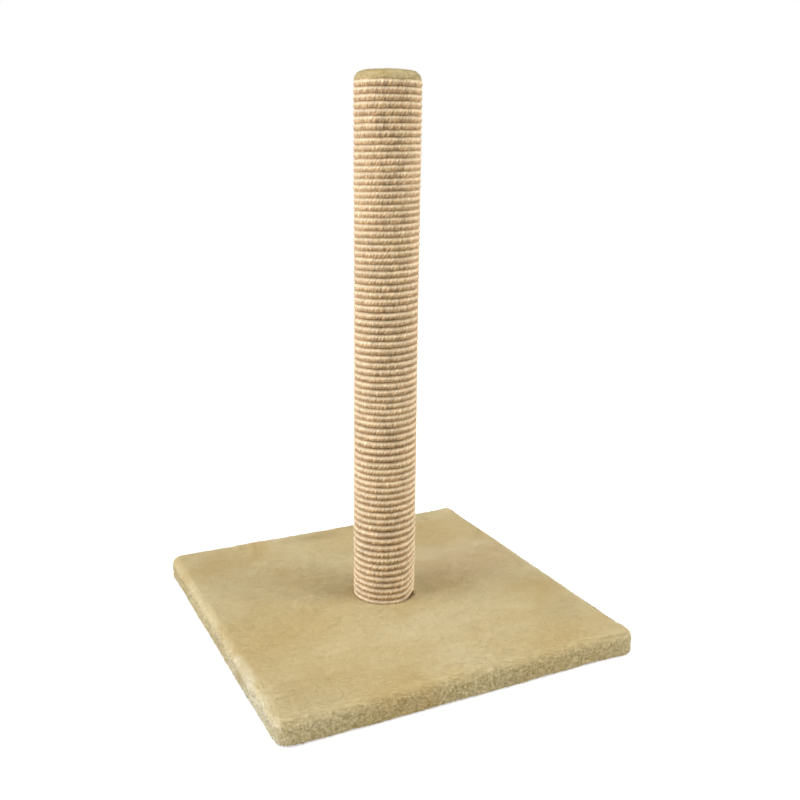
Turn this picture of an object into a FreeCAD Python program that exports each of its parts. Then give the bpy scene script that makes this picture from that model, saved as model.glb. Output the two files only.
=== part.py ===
"""A free-standing cat scratching post: a rope-wound tube bolted to a plush-covered base board.

Millimetres, +Z up. The origin is on the floor, at the middle of the base.
"""

import FreeCAD
import Part
import math
import os

V = FreeCAD.Vector

# ---- Base: a square board wrapped in plush, its hem folded under and stapled ----
BOARD_WIDTH = 400.0
BOARD_DEPTH = 400.0
BOARD_THICKNESS = 19.0
BOARD_CORNER_RADIUS = 11.0
PLUSH_TOP = 5.0
PLUSH_SIDE = 4.0
PLUSH_HEM = 3.8
PLUSH_TOP_ROUNDING = 7.0
PLUSH_BOTTOM_ROUNDING = 2.5
PLUSH_PRESSED = 1.5
SEAT_CLEARANCE = 1.2
HEM_WIDTH = 42.0
HEM_MITRE_GAP = 1.2

# ---- Post: a paper tube with a wooden plug in each end ----
TUBE_OUTER_DIAMETER = 56.0
TUBE_WALL = 4.0
TUBE_LENGTH = 569.2
PLUG_CLEARANCE = 0.2
LOWER_PLUG_THICKNESS = 26.0
UPPER_PLUG_THICKNESS = 20.0

# ---- Rope wound round the tube ----
ROPE_DIAMETER = 6.7
ROPE_TURN_GAP = 0.45
ROPE_GLUE_FILM = 0.1
ROPE_END_CLEARANCE = 0.3
ROPE_END_BEND = 2.0
ROPE_START_ANGLE = -36.0
ROPE_SETTLING_TURNS = 12
TURNS_PER_LENGTH = 20
STEPS_PER_TURN = 4

# ---- Cap: a small disc covered in the same plush ----
CAP_DISC_THICKNESS = 6.0
CAP_DISC_SETBACK = 1.0
CAP_PLUSH_TOP = 5.5
CAP_PLUSH_TUCK = 1.0
CAP_PLUSH_TUCK_WIDTH = 10.0
CAP_SHOULDER_RADIUS = 9.0
CAP_RIM_HEIGHT = 9.3

# ---- Bolt that holds the post to the base ----
BOLT_DIAMETER = 7.9
BOLT_LENGTH = 35.0
BOLT_HEAD_ACROSS_FLATS = 13.0
BOLT_HEAD_HEIGHT = 5.3
BOLT_HOLE_CLEARANCE = 0.55
WASHER_DIAMETER = 24.0
WASHER_THICKNESS = 2.0
WASHER_CLEARANCE = 0.25
COUNTERBORE_CLEARANCE = 2.0
COUNTERBORE_DEPTH = 8.5
INSERT_DIAMETER = 12.0
INSERT_LENGTH = 18.0
INSERT_FLANGE_DIAMETER = 18.0
INSERT_FLANGE_THICKNESS = 1.6
INSERT_THREAD_CLEARANCE = 0.05

# ---- Small fasteners ----
STAPLE_CROWN = 10.0
STAPLE_WIRE = 1.2
STAPLE_LEG = 9.0
STAPLE_SINK = 1.3
STAPLE_DIMPLE_MARGIN = 0.9
STAPLE_EDGE_DISTANCE = 9.0
STAPLES_PER_SIDE = 8
NAIL_DIAMETER = 1.8
NAIL_LENGTH = 18.0
NAIL_HEAD_DIAMETER = 4.6
NAIL_HEAD_THICKNESS = 0.8
NAILS_PER_PLUG = 4
SCREW_DIAMETER = 4.0
SCREW_LENGTH = 24.0
SCREW_HEAD_DIAMETER = 8.0
SCREW_HEAD_HEIGHT = 2.6
SCREW_SOCKET_DIAMETER = 3.2
SCREW_SOCKET_DEPTH = 1.6

# ---- Levels and radii that follow from the sizes above ----
BOARD_BOTTOM = PLUSH_HEM
BOARD_TOP = BOARD_BOTTOM + BOARD_THICKNESS
BASE_TOP = BOARD_TOP + PLUSH_TOP
POST_FOOT = BOARD_TOP + PLUSH_PRESSED
TUBE_TOP = POST_FOOT + TUBE_LENGTH
CAP_DISC_BOTTOM = TUBE_TOP + CAP_PLUSH_TUCK
CAP_DISC_TOP = CAP_DISC_BOTTOM + CAP_DISC_THICKNESS
POST_TOP = CAP_DISC_TOP + CAP_PLUSH_TOP
CAP_RIM = POST_TOP - CAP_RIM_HEIGHT
COUNTERBORE_TOP = BOARD_BOTTOM + COUNTERBORE_DEPTH
BOLT_SEAT = COUNTERBORE_TOP - WASHER_THICKNESS

TUBE_RADIUS = TUBE_OUTER_DIAMETER / 2
BORE_RADIUS = TUBE_RADIUS - TUBE_WALL
PLUG_RADIUS = BORE_RADIUS - PLUG_CLEARANCE
CAP_DISC_RADIUS = TUBE_RADIUS - CAP_DISC_SETBACK
ROPE_RADIUS = ROPE_DIAMETER / 2
WINDING_RADIUS = TUBE_RADIUS + ROPE_GLUE_FILM + ROPE_RADIUS
POST_RADIUS = WINDING_RADIUS + ROPE_RADIUS
ROPE_END_REACH = math.hypot(WINDING_RADIUS, ROPE_DIAMETER) + ROPE_RADIUS
SEAT_RADIUS = ROPE_END_REACH + SEAT_CLEARANCE
BOLT_HOLE_RADIUS = BOLT_DIAMETER / 2 + BOLT_HOLE_CLEARANCE

ROPE_BOTTOM = POST_FOOT + ROPE_END_CLEARANCE + ROPE_RADIUS
ROPE_TOP = CAP_RIM - ROPE_END_CLEARANCE - ROPE_RADIUS
ROPE_TURNS = math.floor((ROPE_TOP - ROPE_BOTTOM) / (ROPE_DIAMETER + ROPE_TURN_GAP))
ROPE_PITCH = (ROPE_TOP - ROPE_BOTTOM) / ROPE_TURNS


def cylinder(radius, bottom, top):
    """An upright cylinder on the axis of the post."""
    return Part.makeCylinder(radius, top - bottom, V(0, 0, bottom))


def rounded_slab(width, depth, bottom, top, corner_radius):
    """A level slab about the axis of the post, rounded at its four upright corners."""
    slab = Part.makeBox(width, depth, top - bottom, V(-width / 2, -depth / 2, bottom))
    upright = [edge for edge in slab.Edges if abs(edge.tangentAt(edge.FirstParameter).z) > 0.9]
    return slab.makeFillet(corner_radius, upright)


def edges_at(shape, level):
    """The edges of a shape that lie wholly at one level."""
    return [e for e in shape.Edges if all(abs(v.Z - level) < 1e-4 for v in e.Vertexes)]


def turned(points, arcs=()):
    """A solid turned about the axis from a radius and level outline; arcs give a mid point by index."""
    places = [V(r, 0, z) for r, z in points]
    middles = dict(arcs)
    edges = []
    for index, start in enumerate(places):
        end = places[(index + 1) % len(places)]
        if index in middles:
            radius, level = middles[index]
            edges.append(Part.Arc(start, V(radius, 0, level), end).toShape())
        else:
            edges.append(Part.LineSegment(start, end).toShape())
    return Part.Face(Part.Wire(edges)).revolve(V(0, 0, 0), V(0, 0, 1), 360)


def hem_line():
    """Distance from the middle of the base to the row of hem staples, across and along."""
    inset = HEM_WIDTH - STAPLE_EDGE_DISTANCE
    return BOARD_WIDTH / 2 + PLUSH_SIDE - inset, BOARD_DEPTH / 2 + PLUSH_SIDE - inset


def staple_places():
    """Where each hem staple sits: its x, its y and the turn of its crown."""
    across, along = hem_line()
    places = []
    for number in range(STAPLES_PER_SIDE):
        share = 2 * (number + 0.5) / STAPLES_PER_SIDE - 1
        reach = 1 - 1 / STAPLES_PER_SIDE
        for side in (-1, 1):
            places.append((share * reach * across, side * along, 0.0))
            places.append((side * across, share * reach * along, 90.0))
    return places


def at_staples(shape):
    """One copy of a shape at each staple."""
    copies = []
    for x, y, turn in staple_places():
        copy = shape.copy()
        copy.rotate(V(0, 0, 0), V(0, 0, 1), turn)
        copy.translate(V(x, y, 0))
        copies.append(copy)
    return copies


def one_staple():
    """A wire staple, crown down, its legs driven up through the hem into the board."""
    crown_bottom = STAPLE_SINK
    crown_top = crown_bottom + STAPLE_WIRE
    leg_top = crown_bottom + STAPLE_LEG
    wire = STAPLE_WIRE
    half = STAPLE_CROWN / 2
    crown = Part.makeBox(STAPLE_CROWN, wire, crown_top - crown_bottom, V(-half, -wire / 2, crown_bottom))
    legs = [Part.makeBox(wire, wire, leg_top - crown_bottom, V(x, -wire / 2, crown_bottom))
            for x in (-half, half - wire)]
    return crown.fuse(legs).removeSplitter()


def staple_dimple():
    """The dent that a staple presses into the pile of the hem."""
    margin = STAPLE_DIMPLE_MARGIN
    long_side = STAPLE_CROWN + 2 * margin
    short_side = STAPLE_WIRE + 2 * margin
    return Part.makeBox(long_side, short_side, STAPLE_SINK + STAPLE_WIRE,
                        V(-long_side / 2, -short_side / 2, 0))


def hem_staples():
    """All the staples of the hem, as one group."""
    return Part.makeCompound(at_staples(one_staple()))


def base_board():
    """The wooden board inside the base, with the bolt hole and its counterbore."""
    board = rounded_slab(BOARD_WIDTH, BOARD_DEPTH, BOARD_BOTTOM, BOARD_TOP, BOARD_CORNER_RADIUS)
    board = board.cut(cylinder(BOLT_HOLE_RADIUS, BOARD_BOTTOM, BOARD_TOP))
    counterbore = cylinder(WASHER_DIAMETER / 2 + COUNTERBORE_CLEARANCE, BOARD_BOTTOM, COUNTERBORE_TOP)
    return board.cut(counterbore).cut(at_staples(one_staple()))


def base_cover():
    """The plush over the base: top, four sides and a mitred hem underneath."""
    width = BOARD_WIDTH + 2 * PLUSH_SIDE
    depth = BOARD_DEPTH + 2 * PLUSH_SIDE
    cover = rounded_slab(width, depth, 0, BASE_TOP, BOARD_CORNER_RADIUS + PLUSH_SIDE)
    cover = cover.makeFillet(min(PLUSH_TOP_ROUNDING, BASE_TOP / 2), edges_at(cover, BASE_TOP))
    cover = cover.makeFillet(min(PLUSH_BOTTOM_ROUNDING, PLUSH_HEM), edges_at(cover, 0))
    board = rounded_slab(BOARD_WIDTH, BOARD_DEPTH, BOARD_BOTTOM, BOARD_TOP, BOARD_CORNER_RADIUS)
    window = Part.makeBox(width - 2 * HEM_WIDTH, depth - 2 * HEM_WIDTH, PLUSH_HEM,
                          V(HEM_WIDTH - width / 2, HEM_WIDTH - depth / 2, 0))
    seat = cylinder(SEAT_RADIUS, POST_FOOT, BASE_TOP)
    bolt_hole = cylinder(BOLT_HOLE_RADIUS, BOARD_TOP, POST_FOOT)
    cover = cover.cut([board, window, seat, bolt_hole])
    return cover.cut(hem_mitres() + at_staples(one_staple()) + at_staples(staple_dimple()))


def hem_mitres():
    """Thin diagonal slots where the folded hem meets itself at each corner."""
    slots = []
    half_width = BOARD_WIDTH / 2 + PLUSH_SIDE
    half_depth = BOARD_DEPTH / 2 + PLUSH_SIDE
    length = (HEM_WIDTH - PLUSH_SIDE - BOARD_CORNER_RADIUS) * math.sqrt(2)
    overrun = 2 * HEM_MITRE_GAP
    for x_side in (-1, 1):
        for y_side in (-1, 1):
            slot = Part.makeBox(length + overrun, HEM_MITRE_GAP, PLUSH_HEM, V(-overrun, -HEM_MITRE_GAP / 2, 0))
            slot.rotate(V(0, 0, 0), V(0, 0, 1), math.degrees(math.atan2(y_side, x_side)))
            slot.translate(V(x_side * (half_width - HEM_WIDTH), y_side * (half_depth - HEM_WIDTH), 0))
            slots.append(slot)
    return slots


def post_bolt():
    """The hexagon-head bolt that comes up through the board into the lower plug."""
    corner_radius = BOLT_HEAD_ACROSS_FLATS / math.sqrt(3)
    head_bottom = BOLT_SEAT - BOLT_HEAD_HEIGHT
    corners = [V(corner_radius * math.cos(math.radians(60 * n)), corner_radius * math.sin(math.radians(60 * n)),
                 head_bottom) for n in range(7)]
    head = Part.Face(Part.makePolygon(corners)).extrude(V(0, 0, BOLT_HEAD_HEIGHT))
    shank = cylinder(BOLT_DIAMETER / 2, BOLT_SEAT, BOLT_SEAT + BOLT_LENGTH)
    return head.fuse(shank).removeSplitter()


def bolt_washer():
    """The broad washer under the bolt's head."""
    hole = cylinder(BOLT_DIAMETER / 2 + WASHER_CLEARANCE, BOLT_SEAT, COUNTERBORE_TOP)
    return cylinder(WASHER_DIAMETER / 2, BOLT_SEAT, COUNTERBORE_TOP).cut(hole)


def threaded_insert():
    """The flanged metal insert in the lower plug that the bolt screws into."""
    body = cylinder(INSERT_DIAMETER / 2, POST_FOOT, POST_FOOT + INSERT_LENGTH)
    flange = cylinder(INSERT_FLANGE_DIAMETER / 2, POST_FOOT, POST_FOOT + INSERT_FLANGE_THICKNESS)
    bore = cylinder(BOLT_DIAMETER / 2 + INSERT_THREAD_CLEARANCE, POST_FOOT, POST_FOOT + INSERT_LENGTH)
    return body.fuse(flange).removeSplitter().cut(bore)


def one_nail(level, turn):
    """A flat-headed nail driven inwards through the wall of the tube, its head flush."""
    shank_end = TUBE_RADIUS - NAIL_LENGTH
    head_inside = TUBE_RADIUS - NAIL_HEAD_THICKNESS
    inwards = V(1, 0, 0)
    shank = Part.makeCylinder(NAIL_DIAMETER / 2, head_inside - shank_end, V(shank_end, 0, level), inwards)
    head = Part.makeCylinder(NAIL_HEAD_DIAMETER / 2, NAIL_HEAD_THICKNESS, V(head_inside, 0, level), inwards)
    nail = shank.fuse(head).removeSplitter().common(cylinder(TUBE_RADIUS, POST_FOOT, TUBE_TOP))
    nail.rotate(V(0, 0, 0), V(0, 0, 1), turn)
    return nail


def nails(level):
    """A ring of nails that hold one plug in the tube."""
    return [one_nail(level, 360 * number / NAILS_PER_PLUG + 45) for number in range(NAILS_PER_PLUG)]


def lower_nails():
    """The nails of the lower plug."""
    return nails(POST_FOOT + LOWER_PLUG_THICKNESS * 2 / 3)


def upper_nails():
    """The nails of the upper plug."""
    return nails(TUBE_TOP - UPPER_PLUG_THICKNESS / 2)


def lower_plug():
    """The wooden plug in the foot of the tube, holding the threaded insert."""
    plug = cylinder(PLUG_RADIUS, POST_FOOT, POST_FOOT + LOWER_PLUG_THICKNESS)
    bolt_way = cylinder(BOLT_HOLE_RADIUS, POST_FOOT, POST_FOOT + LOWER_PLUG_THICKNESS)
    insert_way = cylinder(INSERT_DIAMETER / 2, POST_FOOT, POST_FOOT + INSERT_LENGTH)
    flange_way = cylinder(INSERT_FLANGE_DIAMETER / 2, POST_FOOT, POST_FOOT + INSERT_FLANGE_THICKNESS)
    return plug.cut([bolt_way, insert_way, flange_way] + lower_nails())


def upper_plug():
    """The wooden plug in the head of the tube, level with its end."""
    plug = cylinder(PLUG_RADIUS, TUBE_TOP - UPPER_PLUG_THICKNESS, TUBE_TOP)
    return plug.cut([cap_screw()] + upper_nails())


def post_tube():
    """The spiral-wound paper tube that carries the rope."""
    tube = cylinder(TUBE_RADIUS, POST_FOOT, TUBE_TOP).cut(cylinder(BORE_RADIUS, POST_FOOT, TUBE_TOP))
    return tube.cut(lower_nails() + upper_nails())


def cap_screw():
    """The countersunk screw that holds the cap's disc to the upper plug."""
    neck = CAP_DISC_TOP - SCREW_HEAD_HEIGHT
    tip = CAP_DISC_TOP - SCREW_LENGTH
    radius = SCREW_DIAMETER / 2
    screw = turned([(0, tip), (radius, tip + SCREW_DIAMETER), (radius, neck),
                    (SCREW_HEAD_DIAMETER / 2, CAP_DISC_TOP), (0, CAP_DISC_TOP)])
    return screw


def socketed_cap_screw():
    """The cap's screw with the recess for its driver."""
    floor = CAP_DISC_TOP - SCREW_SOCKET_DEPTH
    return cap_screw().cut(cylinder(SCREW_SOCKET_DIAMETER / 2, floor, CAP_DISC_TOP))


def cap_disc():
    """The wooden disc inside the cap."""
    return cylinder(CAP_DISC_RADIUS, CAP_DISC_BOTTOM, CAP_DISC_TOP).cut(cap_screw())


def cap_cover():
    """The plush over the cap: round-shouldered above, tucked thin between the disc and the tube."""
    rounding = min(CAP_SHOULDER_RADIUS, CAP_RIM_HEIGHT)
    shoulder = POST_TOP - rounding
    flat_radius = POST_RADIUS - rounding
    halfway = rounding * math.sqrt(0.5)
    shoulder_middle = (flat_radius + halfway, shoulder + halfway)
    tuck_radius = CAP_DISC_RADIUS - CAP_PLUSH_TUCK_WIDTH
    outline = [
        (0, CAP_DISC_TOP),
        (CAP_DISC_RADIUS, CAP_DISC_TOP),
        (CAP_DISC_RADIUS, CAP_DISC_BOTTOM),
        (tuck_radius, CAP_DISC_BOTTOM),
        (tuck_radius, TUBE_TOP),
        (TUBE_RADIUS, TUBE_TOP),
        (TUBE_RADIUS, CAP_RIM),
        (POST_RADIUS, CAP_RIM),
        (POST_RADIUS, shoulder),
        (flat_radius, POST_TOP),
        (0, POST_TOP),
    ]
    return turned(outline, arcs=[(8, shoulder_middle)])


def rope_level(turns):
    """Height of the rope's centre line after a number of turns from its lower end.

    The first turn lies flat on the base before it climbs and the last climbs before it lies
    flat under the cap. Between them the turns settle into an even helix.
    """
    whole = math.floor(turns)
    part = turns - whole
    flat_then_climb = max(0.0, 2 * part - 1)
    climb_then_flat = min(1.0, 2 * part)
    lower_weight = max(0.0, 1 - whole / ROPE_SETTLING_TURNS)
    upper_weight = max(0.0, 1 - (ROPE_TURNS - 1 - whole) / ROPE_SETTLING_TURNS) if part else 0.0
    lift = lower_weight * (flat_then_climb - part) + upper_weight * (climb_then_flat - part)
    return ROPE_BOTTOM + ROPE_PITCH * (turns + lift)


def rope_point(step):
    """The rope's centre line at a numbered step, and its direction there."""
    turns = step / STEPS_PER_TURN
    angle = math.radians(ROPE_START_ANGLE) + 2 * math.pi * turns
    quarter = 1 / STEPS_PER_TURN
    rises = [rope_level(end) - rope_level(end - quarter)
             for end in (turns, turns + quarter) if quarter <= end <= ROPE_TURNS]
    climb = min(rises) / quarter / (2 * math.pi)
    place = V(WINDING_RADIUS * math.cos(angle), WINDING_RADIUS * math.sin(angle), rope_level(turns))
    direction = V(-WINDING_RADIUS * math.sin(angle), WINDING_RADIUS * math.cos(angle), climb)
    return place, direction.normalize()


def biarc(start, start_direction, end, end_direction, start_reach=None, end_reach=None):
    """Two arcs from start to end, smooth at their joint, with the given directions at their ends.

    A reach is how far an end arc's corner lies from that end. One may be given and the other follows.
    """
    chord = end - start
    square = chord.dot(chord)
    spread = 1 - start_direction.dot(end_direction)
    along_start = chord.dot(start_direction)
    along_end = chord.dot(end_direction)
    if start_reach:
        end_reach = (square / 2 - start_reach * along_start) / (along_end + start_reach * spread)
    elif end_reach:
        start_reach = (square / 2 - end_reach * along_end) / (along_start + end_reach * spread)
    else:
        both = along_start + along_end
        start_reach = end_reach = (math.sqrt(both * both + 2 * spread * square) - both) / (2 * spread)
    first_corner = start + start_direction * start_reach
    second_corner = end - end_direction * end_reach
    joint = (first_corner * end_reach + second_corner * start_reach) * (1 / (start_reach + end_reach))
    return [arc_by_corner(start, first_corner, joint), arc_by_corner(joint, second_corner, end)]


def arc_by_corner(start, corner, end):
    """The arc from start to end whose end tangents meet at the corner."""
    middle = (start + end) * 0.5
    half_chord = (end - start).Length / 2
    side = (corner - start).Length
    height = (corner - middle).Length
    sagitta = height * half_chord / (side + half_chord)
    crest = middle + (corner - middle) * (sagitta / height)
    return Part.Arc(start, crest, end)


def rope_path(first_step, last_step):
    """The centre line of one length of rope: straight for one diameter at each end, wound between."""
    place, direction = rope_point(first_step)
    run_end = place + direction * ROPE_DIAMETER
    edges = [Part.LineSegment(place, run_end)]
    place = run_end
    for step in range(first_step + 1, last_step + 1):
        start_reach = ROPE_END_BEND if step == first_step + 1 else None
        end_reach = ROPE_END_BEND if step == last_step else None
        next_place, next_direction = rope_point(step)
        if end_reach:
            next_place = next_place - next_direction * ROPE_DIAMETER
        edges.extend(biarc(place, direction, next_place, next_direction, start_reach, end_reach))
        place, direction = next_place, next_direction
    edges.append(Part.LineSegment(place, place + direction * ROPE_DIAMETER))
    return Part.Wire([edge.toShape() for edge in edges])


def rope_length(first_step, last_step):
    """One length of rope, an unbroken tube along its path."""
    path = rope_path(first_step, last_step)
    place, direction = rope_point(first_step)
    section = Part.Wire([Part.makeCircle(ROPE_RADIUS, place, direction)])
    return path.makePipeShell([section], True, False), path


def rope_steps():
    """The steps at which one length of rope ends and the next begins, all at the back of the post."""
    last = ROPE_TURNS * STEPS_PER_TURN
    count = math.ceil(ROPE_TURNS / TURNS_PER_LENGTH)
    joints = [number * TURNS_PER_LENGTH * STEPS_PER_TURN + 1 for number in range(1, count)]
    return [0] + [joint for joint in joints if joint < last] + [last]


def least_gap(paths):
    """The smallest gap between one turn and the next, measured on points along the centre line."""
    points = []
    for path in paths:
        for edge in path.Edges:
            points.extend(edge.discretize(5)[:-1])
    per_turn = round(len(points) / ROPE_TURNS)
    window = per_turn // 4
    least = min((points[i] - points[j]).Length
                for i in range(len(points))
                for j in range(i + per_turn - window, min(i + per_turn + window, len(points))))
    return least - ROPE_DIAMETER


def build():
    """Make every piece, write each to its own file and print the checks on the rope."""
    pieces = {
        "base_board": base_board(),
        "base_cover": base_cover(),
        "hem_staples": hem_staples(),
        "post_bolt": post_bolt(),
        "bolt_washer": bolt_washer(),
        "threaded_insert": threaded_insert(),
        "lower_plug": lower_plug(),
        "lower_plug_nails": Part.makeCompound(lower_nails()),
        "post_tube": post_tube(),
        "upper_plug": upper_plug(),
        "upper_plug_nails": Part.makeCompound(upper_nails()),
        "cap_disc": cap_disc(),
        "cap_screw": socketed_cap_screw(),
        "cap_cover": cap_cover(),
    }
    paths = []
    steps = rope_steps()
    for number, (first, last) in enumerate(zip(steps, steps[1:]), 1):
        pieces[f"sisal_rope_{number}"], path = rope_length(first, last)
        paths.append(path)
        section = math.pi * ROPE_RADIUS ** 2
        volume = pieces[f"sisal_rope_{number}"].Volume
        print(f"rope length {number}: {path.Length:.0f} mm, volume share {volume / section / path.Length:.4f}")
    print(f"rope turns {ROPE_TURNS}, pitch {ROPE_PITCH:.3f} mm, least gap {least_gap(paths):.3f} mm")
    os.makedirs("parts", exist_ok=True)
    for name, shape in pieces.items():
        shape.exportStep(f"parts/{name}.step")


build()
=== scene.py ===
"""Looks of a free-standing cat scratching post.

A square base wrapped in short plush carries an upright post wound with twisted sisal rope under a
plush cap. Metres, +Z up, the origin on the floor under the middle of the base.
"""

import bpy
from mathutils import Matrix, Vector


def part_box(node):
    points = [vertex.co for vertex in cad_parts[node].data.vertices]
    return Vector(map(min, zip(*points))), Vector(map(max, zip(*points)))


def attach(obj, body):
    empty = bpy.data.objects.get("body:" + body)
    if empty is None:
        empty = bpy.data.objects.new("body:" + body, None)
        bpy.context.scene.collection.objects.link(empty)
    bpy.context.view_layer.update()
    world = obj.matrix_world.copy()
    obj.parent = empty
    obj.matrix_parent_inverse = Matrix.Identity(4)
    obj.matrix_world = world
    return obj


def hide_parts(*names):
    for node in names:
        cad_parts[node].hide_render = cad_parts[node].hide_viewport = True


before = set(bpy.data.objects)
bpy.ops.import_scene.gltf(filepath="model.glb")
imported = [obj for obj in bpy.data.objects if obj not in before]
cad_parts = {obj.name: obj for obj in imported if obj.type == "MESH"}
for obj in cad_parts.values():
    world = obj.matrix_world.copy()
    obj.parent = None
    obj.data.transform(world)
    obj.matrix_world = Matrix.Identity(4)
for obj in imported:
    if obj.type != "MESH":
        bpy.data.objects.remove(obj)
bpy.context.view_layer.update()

import logging
import math
from dataclasses import dataclass, field
from enum import Enum
from typing import Any, Sequence

import bpy
import numpy as np
from mathutils import Matrix, Vector, noise

logging.basicConfig(level=logging.INFO, format="%(levelname)s %(message)s")
log = logging.getLogger("scratching_post")

MM = 0.001
BODY = "root"
Triple = tuple[float, float, float]
Colour = Triple


def linear(value: int) -> float:
    """A 0 to 255 screen value as a share of full light."""
    share = value / 255
    return share / 12.92 if share <= 0.04045 else ((share + 0.055) / 1.055) ** 2.4


def srgb(red: int, green: int, blue: int) -> Colour:
    """A linear colour from the usual 0 to 255 screen values."""
    return linear(red), linear(green), linear(blue)


def ease(share: float) -> float:
    """A smooth step from 0 to 1 as the share goes from 0 to 1."""
    share = min(1.0, max(0.0, share))
    return share * share * (3 - 2 * share)


def fade(offset: Vector, reach: float) -> float:
    """One in the middle of a place, falling off smoothly over its reach."""
    return math.exp(-(offset.length / reach) ** 2)


# ---------------------------------------------------------------- node trees


class Graph:
    """A node tree with short calls that add nodes and join them."""

    def __init__(self, tree: bpy.types.NodeTree) -> None:
        """Keep the tree that the calls build in."""
        self.tree = tree

    @staticmethod
    def socket(sockets: Any, key: int | str) -> bpy.types.NodeSocket:
        """Find a socket.

        Args:
            sockets: a node's inputs or outputs.
            key: the socket's name, or its place in the list.

        Returns:
            The enabled socket of that name, or the one at that place.
        """
        if isinstance(key, int):
            return sockets[key]
        return next(s for s in sockets if s.enabled and s.name == key)

    def add(self, kind: str, inputs: dict[int | str, Any] | None = None,
            **settings: Any) -> bpy.types.Node:
        """Add a node.

        Args:
            kind: the node's type name.
            inputs: by name or place, a value, or a node or socket to join to that input.
            settings: properties of the node, set first.

        Returns:
            The new node.
        """
        node = self.tree.nodes.new(kind)
        for name, value in settings.items():
            setattr(node, name, value)
        for key, value in (inputs or {}).items():
            target = self.socket(node.inputs, key)
            if isinstance(value, bpy.types.Node):
                value = self.out(value)
            if isinstance(value, bpy.types.NodeSocket):
                self.tree.links.new(value, target)
            else:
                target.default_value = value
        return node

    def out(self, node: bpy.types.Node, key: int | str | None = None) -> bpy.types.NodeSocket:
        """Find a node's output.

        Args:
            node: the node.
            key: the output's name or place, or nothing for the first enabled one.

        Returns:
            The output.
        """
        if key is None:
            return next(s for s in node.outputs if s.enabled)
        return self.socket(node.outputs, key)

    def maths(self, operation: str, *values: Any) -> bpy.types.Node:
        """A Math node over up to three values."""
        return self.add("ShaderNodeMath", dict(enumerate(values)), operation=operation)

    def vector(self, operation: str, *values: Any) -> bpy.types.Node:
        """A Vector Math node over up to three vectors."""
        return self.add("ShaderNodeVectorMath", dict(enumerate(values)), operation=operation)

    def times(self, first: Any, second: Any) -> bpy.types.Node:
        """One number times another."""
        return self.maths("MULTIPLY", first, second)

    def plus(self, first: Any, second: Any) -> bpy.types.Node:
        """One number plus another."""
        return self.maths("ADD", first, second)

    def minus(self, first: Any, second: Any) -> bpy.types.Node:
        """One number less another."""
        return self.maths("SUBTRACT", first, second)

    def scaled(self, vector: Any, size: Any) -> bpy.types.Node:
        """A vector times a number."""
        return self.add("ShaderNodeVectorMath", {0: vector, "Scale": size}, operation="SCALE")

    def upward(self, vector: Any) -> bpy.types.NodeSocket:
        """The Z part of a vector."""
        return self.out(self.add("ShaderNodeSeparateXYZ", {"Vector": vector}), "Z")

    def joined(self, **parts: Any) -> bpy.types.Node:
        """A vector from its parts X, Y and Z, each nothing unless given."""
        return self.add("ShaderNodeCombineXYZ", parts)


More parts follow.
